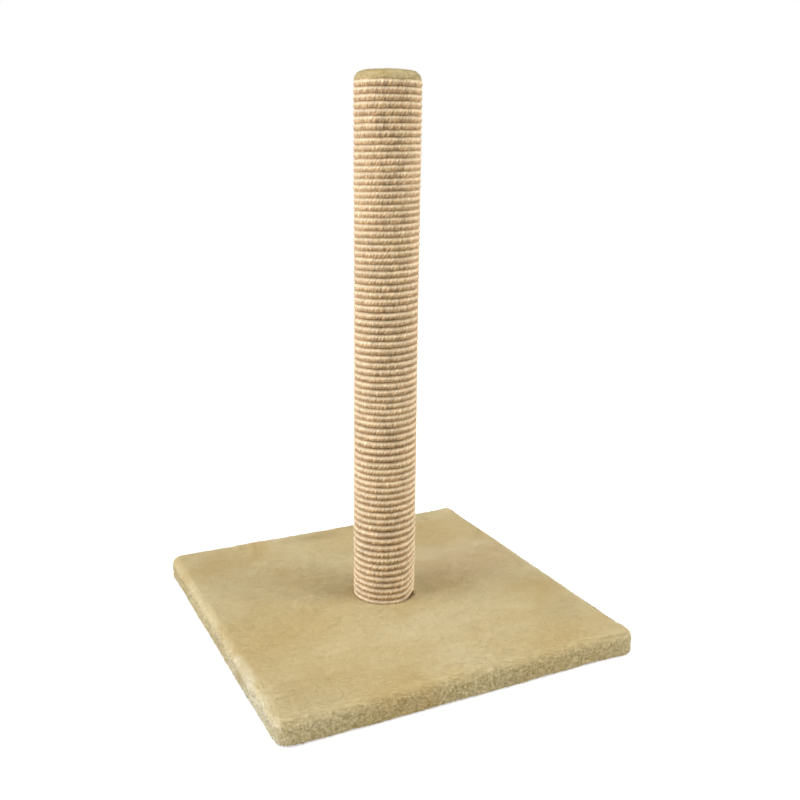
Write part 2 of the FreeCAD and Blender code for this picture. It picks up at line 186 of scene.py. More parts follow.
class ShaderGraph(Graph):
    """The node tree of a new material, with its Principled shader in place."""

    def __init__(self, name: str, **constants: Any) -> None:
        """Make the material.

        Args:
            name: the material's name.
            constants: values of the shader's own sockets, their names in lower case with underscores.
        """
        self.material = bpy.data.materials.new(name)
        self.material.use_nodes = True
        super().__init__(self.material.node_tree)
        self.tree.nodes.clear()
        inputs = {key.replace("_", " ").title().replace("Ior", "IOR"): value
                  for key, value in constants.items()}
        self.shader = self.add("ShaderNodeBsdfPrincipled", inputs)
        self.add("ShaderNodeOutputMaterial", {"Surface": self.shader})
        self.place = self.out(self.add("ShaderNodeTexCoord"), "Object")

    def feed(self, name: str, source: Any) -> None:
        """Join a node or socket to one of the shader's inputs."""
        source = self.out(source) if isinstance(source, bpy.types.Node) else source
        self.tree.links.new(source, self.shader.inputs[name])

    def noise(self, scale: float, detail: float = 3.0, stretch: Triple = (1.0, 1.0, 1.0),
              source: Any = None, roughness: float = 0.5, distortion: float = 0.0) -> bpy.types.Node:
        """Add a noise pattern.

        Args:
            scale: how fine it is.
            detail: how many finer octaves it has.
            stretch: a factor for each axis, more for a finer pattern along it.
            source: the place that it is taken at, in Object coordinates unless given.
            roughness: how strongly the finer octaves tell.
            distortion: how far it swirls.

        Returns:
            The noise node.
        """
        place = self.add("ShaderNodeMapping", {"Vector": source or self.place, "Scale": stretch})
        return self.add("ShaderNodeTexNoise", {"Vector": place, "Scale": scale, "Detail": detail,
                                               "Roughness": roughness, "Distortion": distortion})

    def ramp(self, source: Any, stops: Sequence[tuple[float, Colour]]) -> bpy.types.Node:
        """Add a colour ramp.

        Args:
            source: the value's node or socket.
            stops: a place and a colour for each stop.

        Returns:
            The ramp's node.
        """
        node = self.add("ShaderNodeValToRGB", {"Fac": source})
        elements = node.color_ramp.elements
        while len(elements) < len(stops):
            elements.new(0.5)
        for element, (place, colour) in zip(elements, stops):
            element.position = place
            element.color = (*colour, 1.0)
        return node

    def mix(self, factor: Any, first: Any, second: Any, blend: str = "MIX") -> bpy.types.Node:
        """Mix two colours.

        Args:
            factor: the share of the second.
            first: a colour, or the node or socket that gives it.
            second: the same for the second colour.
            blend: how they are mixed.

        Returns:
            The mix's node.
        """
        pair = {place: (*paint, 1.0) if isinstance(paint, tuple) else paint
                for place, paint in ((1, first), (2, second))}
        return self.add("ShaderNodeMixRGB", {"Fac": factor, **pair}, blend_type=blend)

    def attribute(self, name: str, output: str = "Fac") -> bpy.types.NodeSocket:
        """A value that the mesh carries under a name."""
        return self.out(self.add("ShaderNodeAttribute", attribute_name=name), output)

    def span(self, source: Any, low: float, high: float, start: float = 0.0,
             end: float = 1.0) -> bpy.types.Node:
        """Map a value from one range to another.

        Args:
            source: the value's node or socket.
            low: what the range's start becomes.
            high: what the range's end becomes.
            start: the start of the value's own range.
            end: the end of the value's own range.

        Returns:
            The node that gives the mapped value, kept within the range.
        """
        return self.add("ShaderNodeMapRange", {"Value": source, "From Min": start, "From Max": end,
                                               "To Min": low, "To Max": high})

    def bump(self, source: Any, strength: float, distance: float, normal: Any = None) -> None:
        """Feed a height to the shader's normal.

        Args:
            source: the height's node or socket.
            strength: how strongly it tells.
            distance: how deep it goes.
            normal: the normal to start from, the mesh's own unless given.
        """
        inputs = {"Height": source, "Strength": strength, "Distance": distance}
        if normal is not None:
            inputs["Normal"] = normal
        self.feed("Normal", self.add("ShaderNodeBump", inputs))


class GeometryGraph(Graph):
    """A geometry node tree with named inputs, ending in Realize Instances and Set Material."""

    def __init__(self, name: str, *sizes: str) -> None:
        """Make the tree and its inputs.

        Args:
            name: the tree's name.
            sizes: the names of its number inputs.
        """
        super().__init__(bpy.data.node_groups.new(name, "GeometryNodeTree"))
        face = self.tree.interface
        face.new_socket("Geometry", in_out="INPUT", socket_type="NodeSocketGeometry")
        for size in sizes:
            face.new_socket(size, in_out="INPUT", socket_type="NodeSocketFloat")
        face.new_socket("Seed", in_out="INPUT", socket_type="NodeSocketInt")
        face.new_socket("Material", in_out="INPUT", socket_type="NodeSocketMaterial")
        face.new_socket("Geometry", in_out="OUTPUT", socket_type="NodeSocketGeometry")
        self.inputs = self.add("NodeGroupInput")

    def given(self, name: str) -> bpy.types.NodeSocket:
        """One of the tree's own inputs."""
        return self.socket(self.inputs.outputs, name)

    def random(self, low: float, high: float, offset: int) -> bpy.types.Node:
        """Draw a random number for each element.

        Args:
            low: the least it can be.
            high: the most it can be.
            offset: what is added to the tree's own seed.

        Returns:
            The node that gives the number.
        """
        seed = self.maths("ADD", self.given("Seed"), float(offset))
        span = {"Min": low, "Max": high, "Seed": seed}
        return self.add("FunctionNodeRandomValue", span, data_type="FLOAT")

    def noise(self, scale: float, detail: float, roughness: float = 0.5) -> bpy.types.Node:
        """A noise pattern over the points' places."""
        return self.add("ShaderNodeTexNoise", {
            "Vector": self.place(), "Scale": scale, "Detail": detail, "Roughness": roughness})

    def named(self, name: str) -> bpy.types.NodeSocket:
        """A number that the geometry carries under a name."""
        node = self.add("GeometryNodeInputNamedAttribute", {"Name": name}, data_type="FLOAT")
        return self.out(node, "Attribute")

    def place(self) -> bpy.types.Node:
        """Where each point is."""
        return self.add("GeometryNodeInputPosition")

    def store(self, geometry: Any, name: str, value: Any, domain: str = "POINT") -> bpy.types.Node:
        """Keep a number on each point or instance under a name."""
        inputs = {"Geometry": geometry, "Name": name, "Value": value}
        return self.add("GeometryNodeStoreNamedAttribute", inputs, data_type="FLOAT", domain=domain)

    def capture(self, geometry: Any, **values: Any) -> bpy.types.Node:
        """Note values of a geometry while they can be read.

        Args:
            geometry: the node or socket that gives the geometry.
            values: for each name, the number's or vector's node or socket.

        Returns:
            The node that gives the geometry and each value.
        """
        node = self.add("GeometryNodeCaptureAttribute", {"Geometry": geometry})
        for name, value in values.items():
            source = self.out(value) if isinstance(value, bpy.types.Node) else value
            node.capture_items.new("VECTOR" if source.type == "VECTOR" else "FLOAT", name)
            self.tree.links.new(source, node.inputs[name])
        return node

    def close(self, geometry: Any) -> None:
        """Realize, shade and give the material, and join the result to the tree's output.

        Args:
            geometry: the node or socket that gives the finished shape.
        """
        whole = self.add("GeometryNodeRealizeInstances", {"Geometry": geometry})
        shaded = self.add("GeometryNodeSetShadeSmooth", {"Geometry": whole, "Shade Smooth": True})
        finish = self.given("Material")
        dressed = self.add("GeometryNodeSetMaterial", {"Geometry": shaded, "Material": finish})
        self.add("NodeGroupOutput", {"Geometry": dressed})

    def run(self, source: bpy.types.Object, name: str, material: bpy.types.Material, seed: int,
            **sizes: float) -> bpy.types.Object:
        """Run the tree on an object, which it uses up, and return the result as a plain mesh object.

        Args:
            source: the object whose mesh the tree starts from.
            name: the new object's name.
            material: the finish that the tree sets.
            seed: the tree's seed.
            sizes: the tree's number inputs, their names in lower case with underscores.

        Returns:
            The new object.
        """
        modifier = source.modifiers.new("nodes", "NODES")
        modifier.node_group = self.tree
        values = {key.replace("_", " ").title(): value for key, value in sizes.items()}
        values.update({"Seed": seed, "Material": material})
        for item in self.tree.interface.items_tree:
            if item.in_out == "INPUT" and item.name in values:
                modifier[item.identifier] = values[item.name]
        graph = bpy.context.evaluated_depsgraph_get()
        mesh = bpy.data.meshes.new_from_object(source.evaluated_get(graph))
        mesh.name = name
        bpy.data.objects.remove(source)
        mesh.materials.clear()
        mesh.materials.append(material)
        return shown(name, mesh)


def shown(name: str, mesh: bpy.types.Mesh) -> bpy.types.Object:
    """Put a mesh in the scene, at the origin.

    Args:
        name: the object's name.
        mesh: its mesh.

    Returns:
        The new object.
    """
    made = bpy.data.objects.new(name, mesh)
    bpy.context.scene.collection.objects.link(made)
    return made


def mesh_object(name: str, points: np.ndarray, faces: Sequence[Sequence[int]],
                edges: Sequence[Sequence[int]] = ()) -> bpy.types.Object:
    """Make an object from points and faces or edges, shaded smooth.

    Args:
        name: the object's name.
        points: the places of its points, as rows of three.
        faces: the point numbers of each face.
        edges: the point numbers of each loose edge.

    Returns:
        The new object.
    """
    mesh = bpy.data.meshes.new(name)
    mesh.from_pydata([tuple(point) for point in points], [tuple(edge) for edge in edges],
                     [tuple(face) for face in faces])
    mesh.update()
    mesh.shade_smooth()
    return shown(name, mesh)


def mesh_arrays(mesh: bpy.types.Mesh) -> tuple[np.ndarray, np.ndarray]:
    """Read a mesh's points.

    Args:
        mesh: the mesh.

    Returns:
        The places and the normals of its points, each as rows of three.
    """
    places = np.empty(len(mesh.vertices) * 3, dtype=np.float32)
    normals = np.empty(len(mesh.vertices) * 3, dtype=np.float32)
    mesh.vertices.foreach_get("co", places)
    mesh.vertices.foreach_get("normal", normals)
    return places.reshape(-1, 3), normals.reshape(-1, 3)


def band(last: Sequence[int], ring: Sequence[int]) -> list[tuple[int, ...]]:
    """The faces between two rings of as many points."""
    ahead = [*range(1, len(ring)), 0]
    return [(last[j], last[i], ring[i], ring[j]) for i, j in enumerate(ahead)]


def fan(ring: Sequence[int], middle: int) -> list[tuple[int, ...]]:
    """The faces that close a ring over a point in its middle."""
    ahead = [*range(1, len(ring)), 0]
    return [(ring[j], ring[i], middle) for i, j in enumerate(ahead)]


def arc(start: float, end: float, steps: int) -> list[tuple[float, float]]:
    """The cosine and sine of evenly spaced angles, the first and last included."""
    angles = [start * (1 - step / steps) + end * step / steps for step in range(steps + 1)]
    return [(math.cos(angle), math.sin(angle)) for angle in angles]


# ---------------------------------------------------------------- finishes


@dataclass(frozen=True)
class NapPatch:
    """A place on the base where the nap lies another way or is handled darker, or where light is
    painted on.
    """

    place: Triple
    reach: tuple[float, float]
    colour: Colour
    strength: float


@dataclass(frozen=True)
class PlushFinish:
    """Short dense plush: a soft nap brushed in patches, with painted shade down in the pile below its
    tips, painted warm bounce light in its darkest parts, painted light that makes the sides lighter
    than the top, and a painted light patch on the base's left side.
    """

    colour: Colour = srgb(196, 178, 133)
    brushed: Colour = srgb(190, 168, 119)
    pale: Colour = srgb(202, 187, 146)
    smudge: Colour = srgb(150, 132, 90)
    rosy: Colour = srgb(206, 184, 152)
    warm: Colour = srgb(194, 171, 118)
    handled: Colour = srgb(146, 124, 94)
    # painted light: the pale colour of the base's left side, where the left lamp falls
    lifted: Colour = srgb(212, 203, 172)
    name: str = "beige_plush"
    tuft_tone: str = "tuft_tone"
    pile_height: str = "pile_height"
    cloth_way: str = "cloth_way"
    softness: float = 4.0
    mottling: float = 1.2
    # painted bounce light: how much blue the darkest tone keeps
    painted_bounce_blue: float = 0.60
    stroke_scale: float = 7.0
    ragged_scale: float = 30.0
    ragged_reach: float = 30 * MM
    pile_scale: float = 600.0
    crumb_scale: float = 400.0
    crumb_middle: float = 0.54

    def patches(self) -> tuple[NapPatch, ...]:
        """List the brushed and handled places on the cloth, the darker places beside the post's foot
        and the painted light on the base's left side.

        Returns:
            The patches, the later ones over the earlier ones.
        """
        return (NapPatch((-0.022, 0.180, 0.0), (0.052, 0.020), self.smudge, 0.50),
                # darker patches right beside the foot of the post
                NapPatch((-0.054, 0.020, 0.0), (0.034, 0.032), self.smudge, 0.42),
                NapPatch((0.050, -0.022, 0.0), (0.022, 0.016), self.smudge, 0.22),
                NapPatch((0.168, -0.128, 0.0), (0.050, 0.034), self.smudge, 0.26),
                NapPatch((-0.150, 0.020, 0.0), (0.060, 0.100), self.smudge, 0.20),
                NapPatch((-0.150, -0.090, 0.0), (0.050, 0.050), self.smudge, 0.14),
                NapPatch((-0.165, -0.175, 0.0), (0.060, 0.050), self.smudge, 0.20),
                NapPatch((0.130, 0.030, 0.0), (0.110, 0.090), self.rosy, 0.50),
                NapPatch((-0.120, -0.020, 0.0), (0.100, 0.130), self.warm, 0.60),
                NapPatch((0.018, -0.014, 0.0), (0.017, 0.014), self.handled, 0.45),
                NapPatch((0.020, -0.130, 0.0), (0.130, 0.070), self.pale, 0.50),
                # painted light on the base's left side
                NapPatch((-0.206, -0.110, 0.0), (0.010, 0.150), self.lifted, 0.95))

    def material(self) -> bpy.types.Material:
        """Make the material of the cloth's ground and of its pile.

        Returns:
            The plush material.
        """
        g = ShaderGraph(self.name, roughness=0.95, sheen_weight=0.08, sheen_roughness=0.5,
                        specular_ior_level=0.1)
        strokes = g.noise(self.stroke_scale, 3.0, (1.0, 1.6, 1.0), distortion=0.8)
        nap = g.ramp(strokes, [(0.34, self.brushed), (0.50, self.colour), (0.68, self.pale)])
        reach = self.ragged_reach
        ragged = g.vector("MULTIPLY_ADD", g.out(g.noise(self.ragged_scale, 3.0), "Color"),
                          (reach, reach, 0.0), (-reach / 2, -reach / 2, 0.0))
        spot = g.vector("MULTIPLY", g.vector("ADD", g.place, ragged), (1.0, 1.0, 0.0))
        for patch in self.patches():
            wide, deep = patch.reach
            offset = g.vector("SUBTRACT", spot, patch.place)
            offset = g.vector("MULTIPLY", offset, (1 / wide, 1 / deep, 0.0))
            share = g.span(g.out(g.vector("LENGTH", offset), "Value"), patch.strength, 0.0)
            nap = g.mix(share, nap, patch.colour)
        pile = g.noise(self.pile_scale, 2.0)
        # painted shade: darker towards the tufts' roots and on the cloth's ground between them, the hem
        # darker still
        depth = g.span(g.attribute(self.pile_height), 0.90, 1.03)
        way = g.attribute(self.cloth_way, "Vector")
        aside = g.span(g.maths("ABSOLUTE", g.upward(way)), self.mottling, 0.0, 0.1, 0.95)
        crumbs = g.minus(g.out(g.noise(self.crumb_scale, 2.0), "Fac"), self.crumb_middle)
        # tuft_tone carries random clump mottling and the painted light on the sides
        mottled = g.maths("MULTIPLY_ADD", crumbs, aside, g.attribute(self.tuft_tone))
        tone = g.plus(g.times(g.span(pile, 0.93, 1.07), depth), mottled)
        # painted bounce light: the darker the tone, the less blue, as if warmed by light bounced in the
        # pile
        blue = g.times(tone, g.span(tone, self.painted_bounce_blue, 1.0, 0.7, 1.0))
        shade = g.add("ShaderNodeCombineColor", {0: tone, 1: tone, 2: blue})
        g.feed("Base Color", g.mix(1.0, nap, shade, "MULTIPLY"))
        own = g.out(g.add("ShaderNodeNewGeometry"), "Normal")
        soft = g.vector("NORMALIZE", g.vector("ADD", own, g.scaled(way, self.softness)))
        g.bump(pile, 0.35, 0.5 * MM, soft)
        return g.material


@dataclass(frozen=True)
class SisalFinish:
    """Natural sisal: straw-coloured fibres of random pale and brown tone, with painted shade in the
    gaps between strands and on the lower and upper parts of each turn.
    """

    straw: Colour = srgb(232, 209, 167)
    pale: Colour = srgb(248, 236, 208)
    brown: Colour = srgb(183, 150, 92)
    # painted shade: the groove colour darkens the gaps between strands, more on the lower part of each
    # turn
    groove: Colour = srgb(206, 168, 102)
    # painted shade: the under colour darkens the lower part of each turn and its top where the turn
    # above lies on it
    under: Colour = srgb(190, 155, 92)
    painted_shade_share: float = 0.56
    name: str = "natural_sisal"
    lay_height: str = "lay_height"
    along: str = "along"
    around: str = "around"
    towards_next: str = "towards_next"

    def material(self) -> bpy.types.Material:
        """Make the rope's material, its fibres drawn along the strands.

        Returns:
            The sisal material.
        """
        g = ShaderGraph(self.name, roughness=0.8, sheen_weight=0.12, sheen_roughness=0.5,
                        specular_ior_level=0.25)
        place = g.joined(X=g.attribute(self.along), Y=g.attribute(self.around))
        fibres = g.noise(1.0, 3.0, (150.0, 16.0, 1.0), source=place, roughness=0.65)
        yarns = g.noise(1.0, 2.0, (420.0, 3.0, 1.0), source=place, roughness=0.6)
        batches = g.noise(1.0, 2.0, (14.0, 0.6, 1.0), source=place)
        beside = g.attribute(self.towards_next)
        tone = g.ramp(fibres, [(0.30, self.brown), (0.46, self.straw), (0.66, self.pale)])
        # painted shade in the gaps between strands, stronger on the lower part of each turn
        sunk = g.span(g.attribute(self.lay_height), 0.6, 0.0)
        painted_groove_shade = g.times(sunk, g.span(beside, 0.2, 1.0, 0.45, -0.25))
        laid = g.mix(painted_groove_shade, tone, self.groove, "MULTIPLY")
        # painted shade on the lower part of each turn and at its top under the turn above
        painted_under_shade = g.span(beside, 0.0, self.painted_shade_share, 0.30, -0.25)
        above = g.span(beside, 0.0, self.painted_shade_share, 0.28, 0.88)
        deep = g.mix(g.plus(painted_under_shade, above), laid, self.under, "MULTIPLY")
        # painted shade: the coarse yarn speckles are stronger on the lower part of each turn and weaker
        # on its upper part, where the light falls
        painted_under_speckle = g.span(beside, 0.35, 1.2, 0.35, -0.25)
        coarse = g.times(g.span(yarns, -0.44, 0.40, 0.37, 0.63), painted_under_speckle)
        value = g.times(g.span(batches, 0.97, 1.13, 0.35, 0.65), g.plus(coarse, 1.0))
        g.feed("Base Color", g.add("ShaderNodeHueSaturation", {"Value": value, "Color": deep}))
        g.bump(g.plus(fibres, yarns), 1.0, 0.45 * MM)
        return g.material


@dataclass(frozen=True)
class BoardFinish:
    """Raw particle board: pressed chips of several tones."""

    chip: Colour = srgb(196, 168, 128)
    dark_chip: Colour = srgb(150, 120, 84)
    chip_scale: float = 340.0
    grain_scale: float = 900.0
    name: str = "particle_board"

    def material(self) -> bpy.types.Material:
        """Make the board's material.

        Returns:
            The material.
        """
        g = ShaderGraph(self.name, roughness=0.8, specular_ior_level=0.25)
        chips = g.add("ShaderNodeTexVoronoi", {"Vector": g.place, "Scale": self.chip_scale})
        grain = g.noise(self.grain_scale, 3.0, (1.0, 0.35, 1.0))
        tone = g.mix(g.out(chips, "Distance"), self.chip, self.dark_chip)
        g.feed("Base Color", g.mix(g.span(grain, 0.0, 0.5), tone, self.dark_chip, "MULTIPLY"))
        g.feed("Roughness", g.span(grain, 0.7, 0.9))
        g.bump(g.out(chips, "Distance"), 0.35, 0.3 * MM)
        return g.material


@dataclass(frozen=True)
class TimberFinish:
    """Raw softwood, turned or sawn across, with growth rings."""

    early: Colour = srgb(214, 186, 142)
    late: Colour = srgb(178, 142, 96)
    ring_scale: float = 90.0
    grain_scale: float = 700.0
    name: str = "raw_softwood"

    def material(self) -> bpy.types.Material:
        """Make the plugs' and disc's material.

        Returns:
            The material.
        """
        g = ShaderGraph(self.name, roughness=0.7, specular_ior_level=0.3)
        off_axis = g.add("ShaderNodeMapping", {"Vector": g.place, "Location": (0.03, 0.02, 0.0)})
        rings = g.add("ShaderNodeTexWave", {
            "Vector": off_axis, "Scale": self.ring_scale, "Distortion": 2.5, "Detail": 2.0},
            wave_type="RINGS", rings_direction="Z")
        grain = g.noise(self.grain_scale, 3.0, (1.0, 1.0, 0.05))
        tone = g.mix(rings, self.early, self.late)
        g.feed("Base Color", g.mix(g.span(grain, 0.0, 0.35), tone, self.late, "MULTIPLY"))
        g.feed("Roughness", g.span(grain, 0.6, 0.8))
        g.bump(grain, 0.3, 0.2 * MM)
        return g.material


@dataclass(frozen=True)
class PaperFinish:
    """Spiral-wound kraft paper with the seam of its outer ply."""

    kraft: Colour = srgb(176, 140, 98)
    seam: Colour = srgb(140, 108, 72)
    ply_scale: float = 7.0
    pulp_scale: float = 500.0
    name: str = "kraft_paper"

    def material(self) -> bpy.types.Material:
        """Make the tube's material.

        Returns:
            The material.
        """
        g = ShaderGraph(self.name, roughness=0.75, specular_ior_level=0.25)
        ply = g.add("ShaderNodeTexWave", {
            "Vector": g.place, "Scale": self.ply_scale, "Distortion": 0.4},
            wave_type="BANDS", bands_direction="DIAGONAL")
        pulp = g.noise(self.pulp_scale, 4.0)
        edge = g.ramp(ply, [(0.0, self.seam), (0.06, self.kraft), (1.0, self.kraft)])
        g.feed("Base Color", g.mix(g.span(pulp, 0.0, 0.3), edge, self.seam, "MULTIPLY"))
        g.feed("Roughness", g.span(pulp, 0.68, 0.84))
        g.bump(pulp, 0.2, 0.15 * MM)
        return g.material


@dataclass(frozen=True)
class MetalFinish:
    """Plated or plain metal with fine drawing lines and dulled patches."""

    name: str
    colour: Colour
    dull: Colour
    low_roughness: float = 0.28
    high_roughness: float = 0.5
    line_scale: float = 1500.0
    patch_scale: float = 160.0

    def material(self) -> bpy.types.Material:
        """Make the metal's material.

        Returns:
            The material.
        """
        g = ShaderGraph(self.name, metallic=1.0)
        lines = g.noise(self.line_scale, 2.0, (0.2, 1.0, 1.0))
        patches = g.noise(self.patch_scale, 3.0)
        g.feed("Base Color", g.ramp(patches, [(0.35, self.dull), (0.6, self.colour)]))
        g.feed("Roughness", g.span(lines, self.low_roughness, self.high_roughness))
        g.bump(lines, 0.15, 0.05 * MM)
        return g.material


# ---------------------------------------------------------------- base


class PileTree(GeometryGraph):
    """The tree that stands leaning tufts on a cloth, as many as its "pile" attribute asks for."""

    nap_scale: float = 9.0
    clump_scale: float = 300.0
    clearance: float = 0.2 * MM

    def __init__(self) -> None:
        """Build the tree."""
        super().__init__("standing_pile", "Density", "Tuft Length", "Tuft Width", "Brushing", "Parting",
                         "Droop", "Side Tone", "Mottling")
        density = self.times(self.named("pile"), self.given("Density"))
        spots = self.add("GeometryNodeDistributePointsOnFaces", {
            "Mesh": self.given("Geometry"), "Density": density, "Seed": self.given("Seed")})
        normal = self.out(spots, "Normal")
        facing = self.upward(normal)
        faced = self.store(self.out(spots, "Points"), "facing", facing)
        nap = self.noise(self.nap_scale, 2.0)
        clump = self.noise(self.clump_scale, 1.0)
        way = self.way(normal, facing, nap, clump)
        turn = self.add("FunctionNodeAlignRotationToVector", {"Vector": way}, axis="Z")
        tufts = self.add("GeometryNodeInstanceOnPoints", {
            "Points": faced, "Instance": self.tuft(), "Rotation": turn,
            "Scale": self.random(0.6, 1.35, 1)})
        # tuft_tone: random clump mottling on the sides, plus painted light that makes the sides lighter
        # than the top, plus a little random tone
        aside = self.minus(1.0, self.maths("ABSOLUTE", self.named("facing")))
        mottled = self.times(self.minus(self.out(clump, "Fac"), 0.5), self.given("Mottling"))
        tone = self.maths("MULTIPLY_ADD", aside, self.plus(mottled, self.given("Side Tone")),
                          self.random(-0.03, 0.03, 2))
        self.close(self.above_floor(self.store(tufts, "tuft_tone", tone, "INSTANCE")))

    def way(self, normal: Any, facing: Any, nap: bpy.types.Node,
            clump: bpy.types.Node) -> bpy.types.Node:
        """Lean the tufts with the nap, apart in clumps, and down at the sides.

        Args:
            normal: the cloth's own direction.
            facing: how far it faces upwards.
            nap: the noise that the brushing follows.
            clump: the noise that the clumps follow.

        Returns:
            A node that gives the way that each tuft points.
        """
        brushed = self.scaled(self.vector("SUBTRACT", self.out(nap, "Color"), (0.67, 0.60, 0.5)),
                              self.times(self.given("Brushing"), 2.0))
        parted = self.scaled(self.vector("SUBTRACT", self.out(clump, "Color"), (0.5, 0.5, 0.5)),
                             self.times(self.given("Parting"), 2.0))
        sink = self.times(self.minus(1.0, facing), self.given("Droop"))
        leaning = self.vector("ADD", normal, self.vector("ADD", brushed, parted))
        return self.vector("ADD", leaning, self.joined(Z=self.times(sink, -1.0)))

    def tuft(self) -> bpy.types.Node:
        """Make one tuft.

        Returns:
            A node that gives a three-sided spike, with the height in the pile of each of its points.
        """
        length = self.given("Tuft Length")
        cone = self.add("GeometryNodeMeshCone", {
            "Vertices": 3, "Side Segments": 1, "Radius Top": 0.0,
            "Radius Bottom": self.given("Tuft Width"), "Depth": length}, fill_type="NONE")
        height = self.maths("DIVIDE", self.upward(self.place()), length)
        return self.store(self.out(cone, "Mesh"), "pile_height", height)

    def above_floor(self, geometry: Any) -> bpy.types.Node:
        """Lift what reaches under the floor.

        Args:
            geometry: the node or socket that gives the tufts.

        Returns:
            A node that gives the same tufts, none of them under the floor.
        """
        whole = self.add("GeometryNodeRealizeInstances", {"Geometry": geometry})
        parts = self.add("ShaderNodeSeparateXYZ", {"Vector": self.place()})
        clear = self.maths("MAXIMUM", self.out(parts, "Z"), self.clearance)
        lifted = self.joined(X=self.out(parts, "X"), Y=self.out(parts, "Y"), Z=clear)
        return self.add("GeometryNodeSetPosition", {"Geometry": whole, "Position": lifted})

    def stand(self, ground: bpy.types.Object, name: str, finish: bpy.types.Material,
              pile: Sequence[float], seed: int, **sizes: float) -> bpy.types.Object:
        """Stand a pile on a cloth.

        Args:
            ground: the cloth, which stays as it is.
            name: the new piece's name.
            finish: the plush material.
            pile: for each of the cloth's points, the share of the density that stands there.
            seed: the seed of the pile's random numbers.
            sizes: the tree's other inputs.

        Returns:
            The pile as an object of its own.
        """
        source = shown(f"{name}_source", ground.data.copy())
        source.data.attributes.new("pile", "FLOAT", "POINT").data.foreach_set("value", pile)
        return self.run(source, name, finish, seed, **sizes)


def store(mesh: bpy.types.Mesh, name: str, values: Sequence[float]) -> None:
    """Give a mesh's points an attribute."""
    mesh.attributes.new(name, "FLOAT", "POINT").data.foreach_set("value", values)


def store_way(mesh: bpy.types.Mesh, normals: np.ndarray) -> None:
    """Give a cloth's points the way that they face, which the pile on it takes over."""
    ways = mesh.attributes.new("cloth_way", "FLOAT_VECTOR", "POINT")
    ways.data.foreach_set("vector", normals.ravel())


class Cloth(Enum):
    """Which part of the base's cloth a point belongs to."""

    TOP = "top"
    SIDE = "side"
    HEM = "hem"
    INSIDE = "inside"


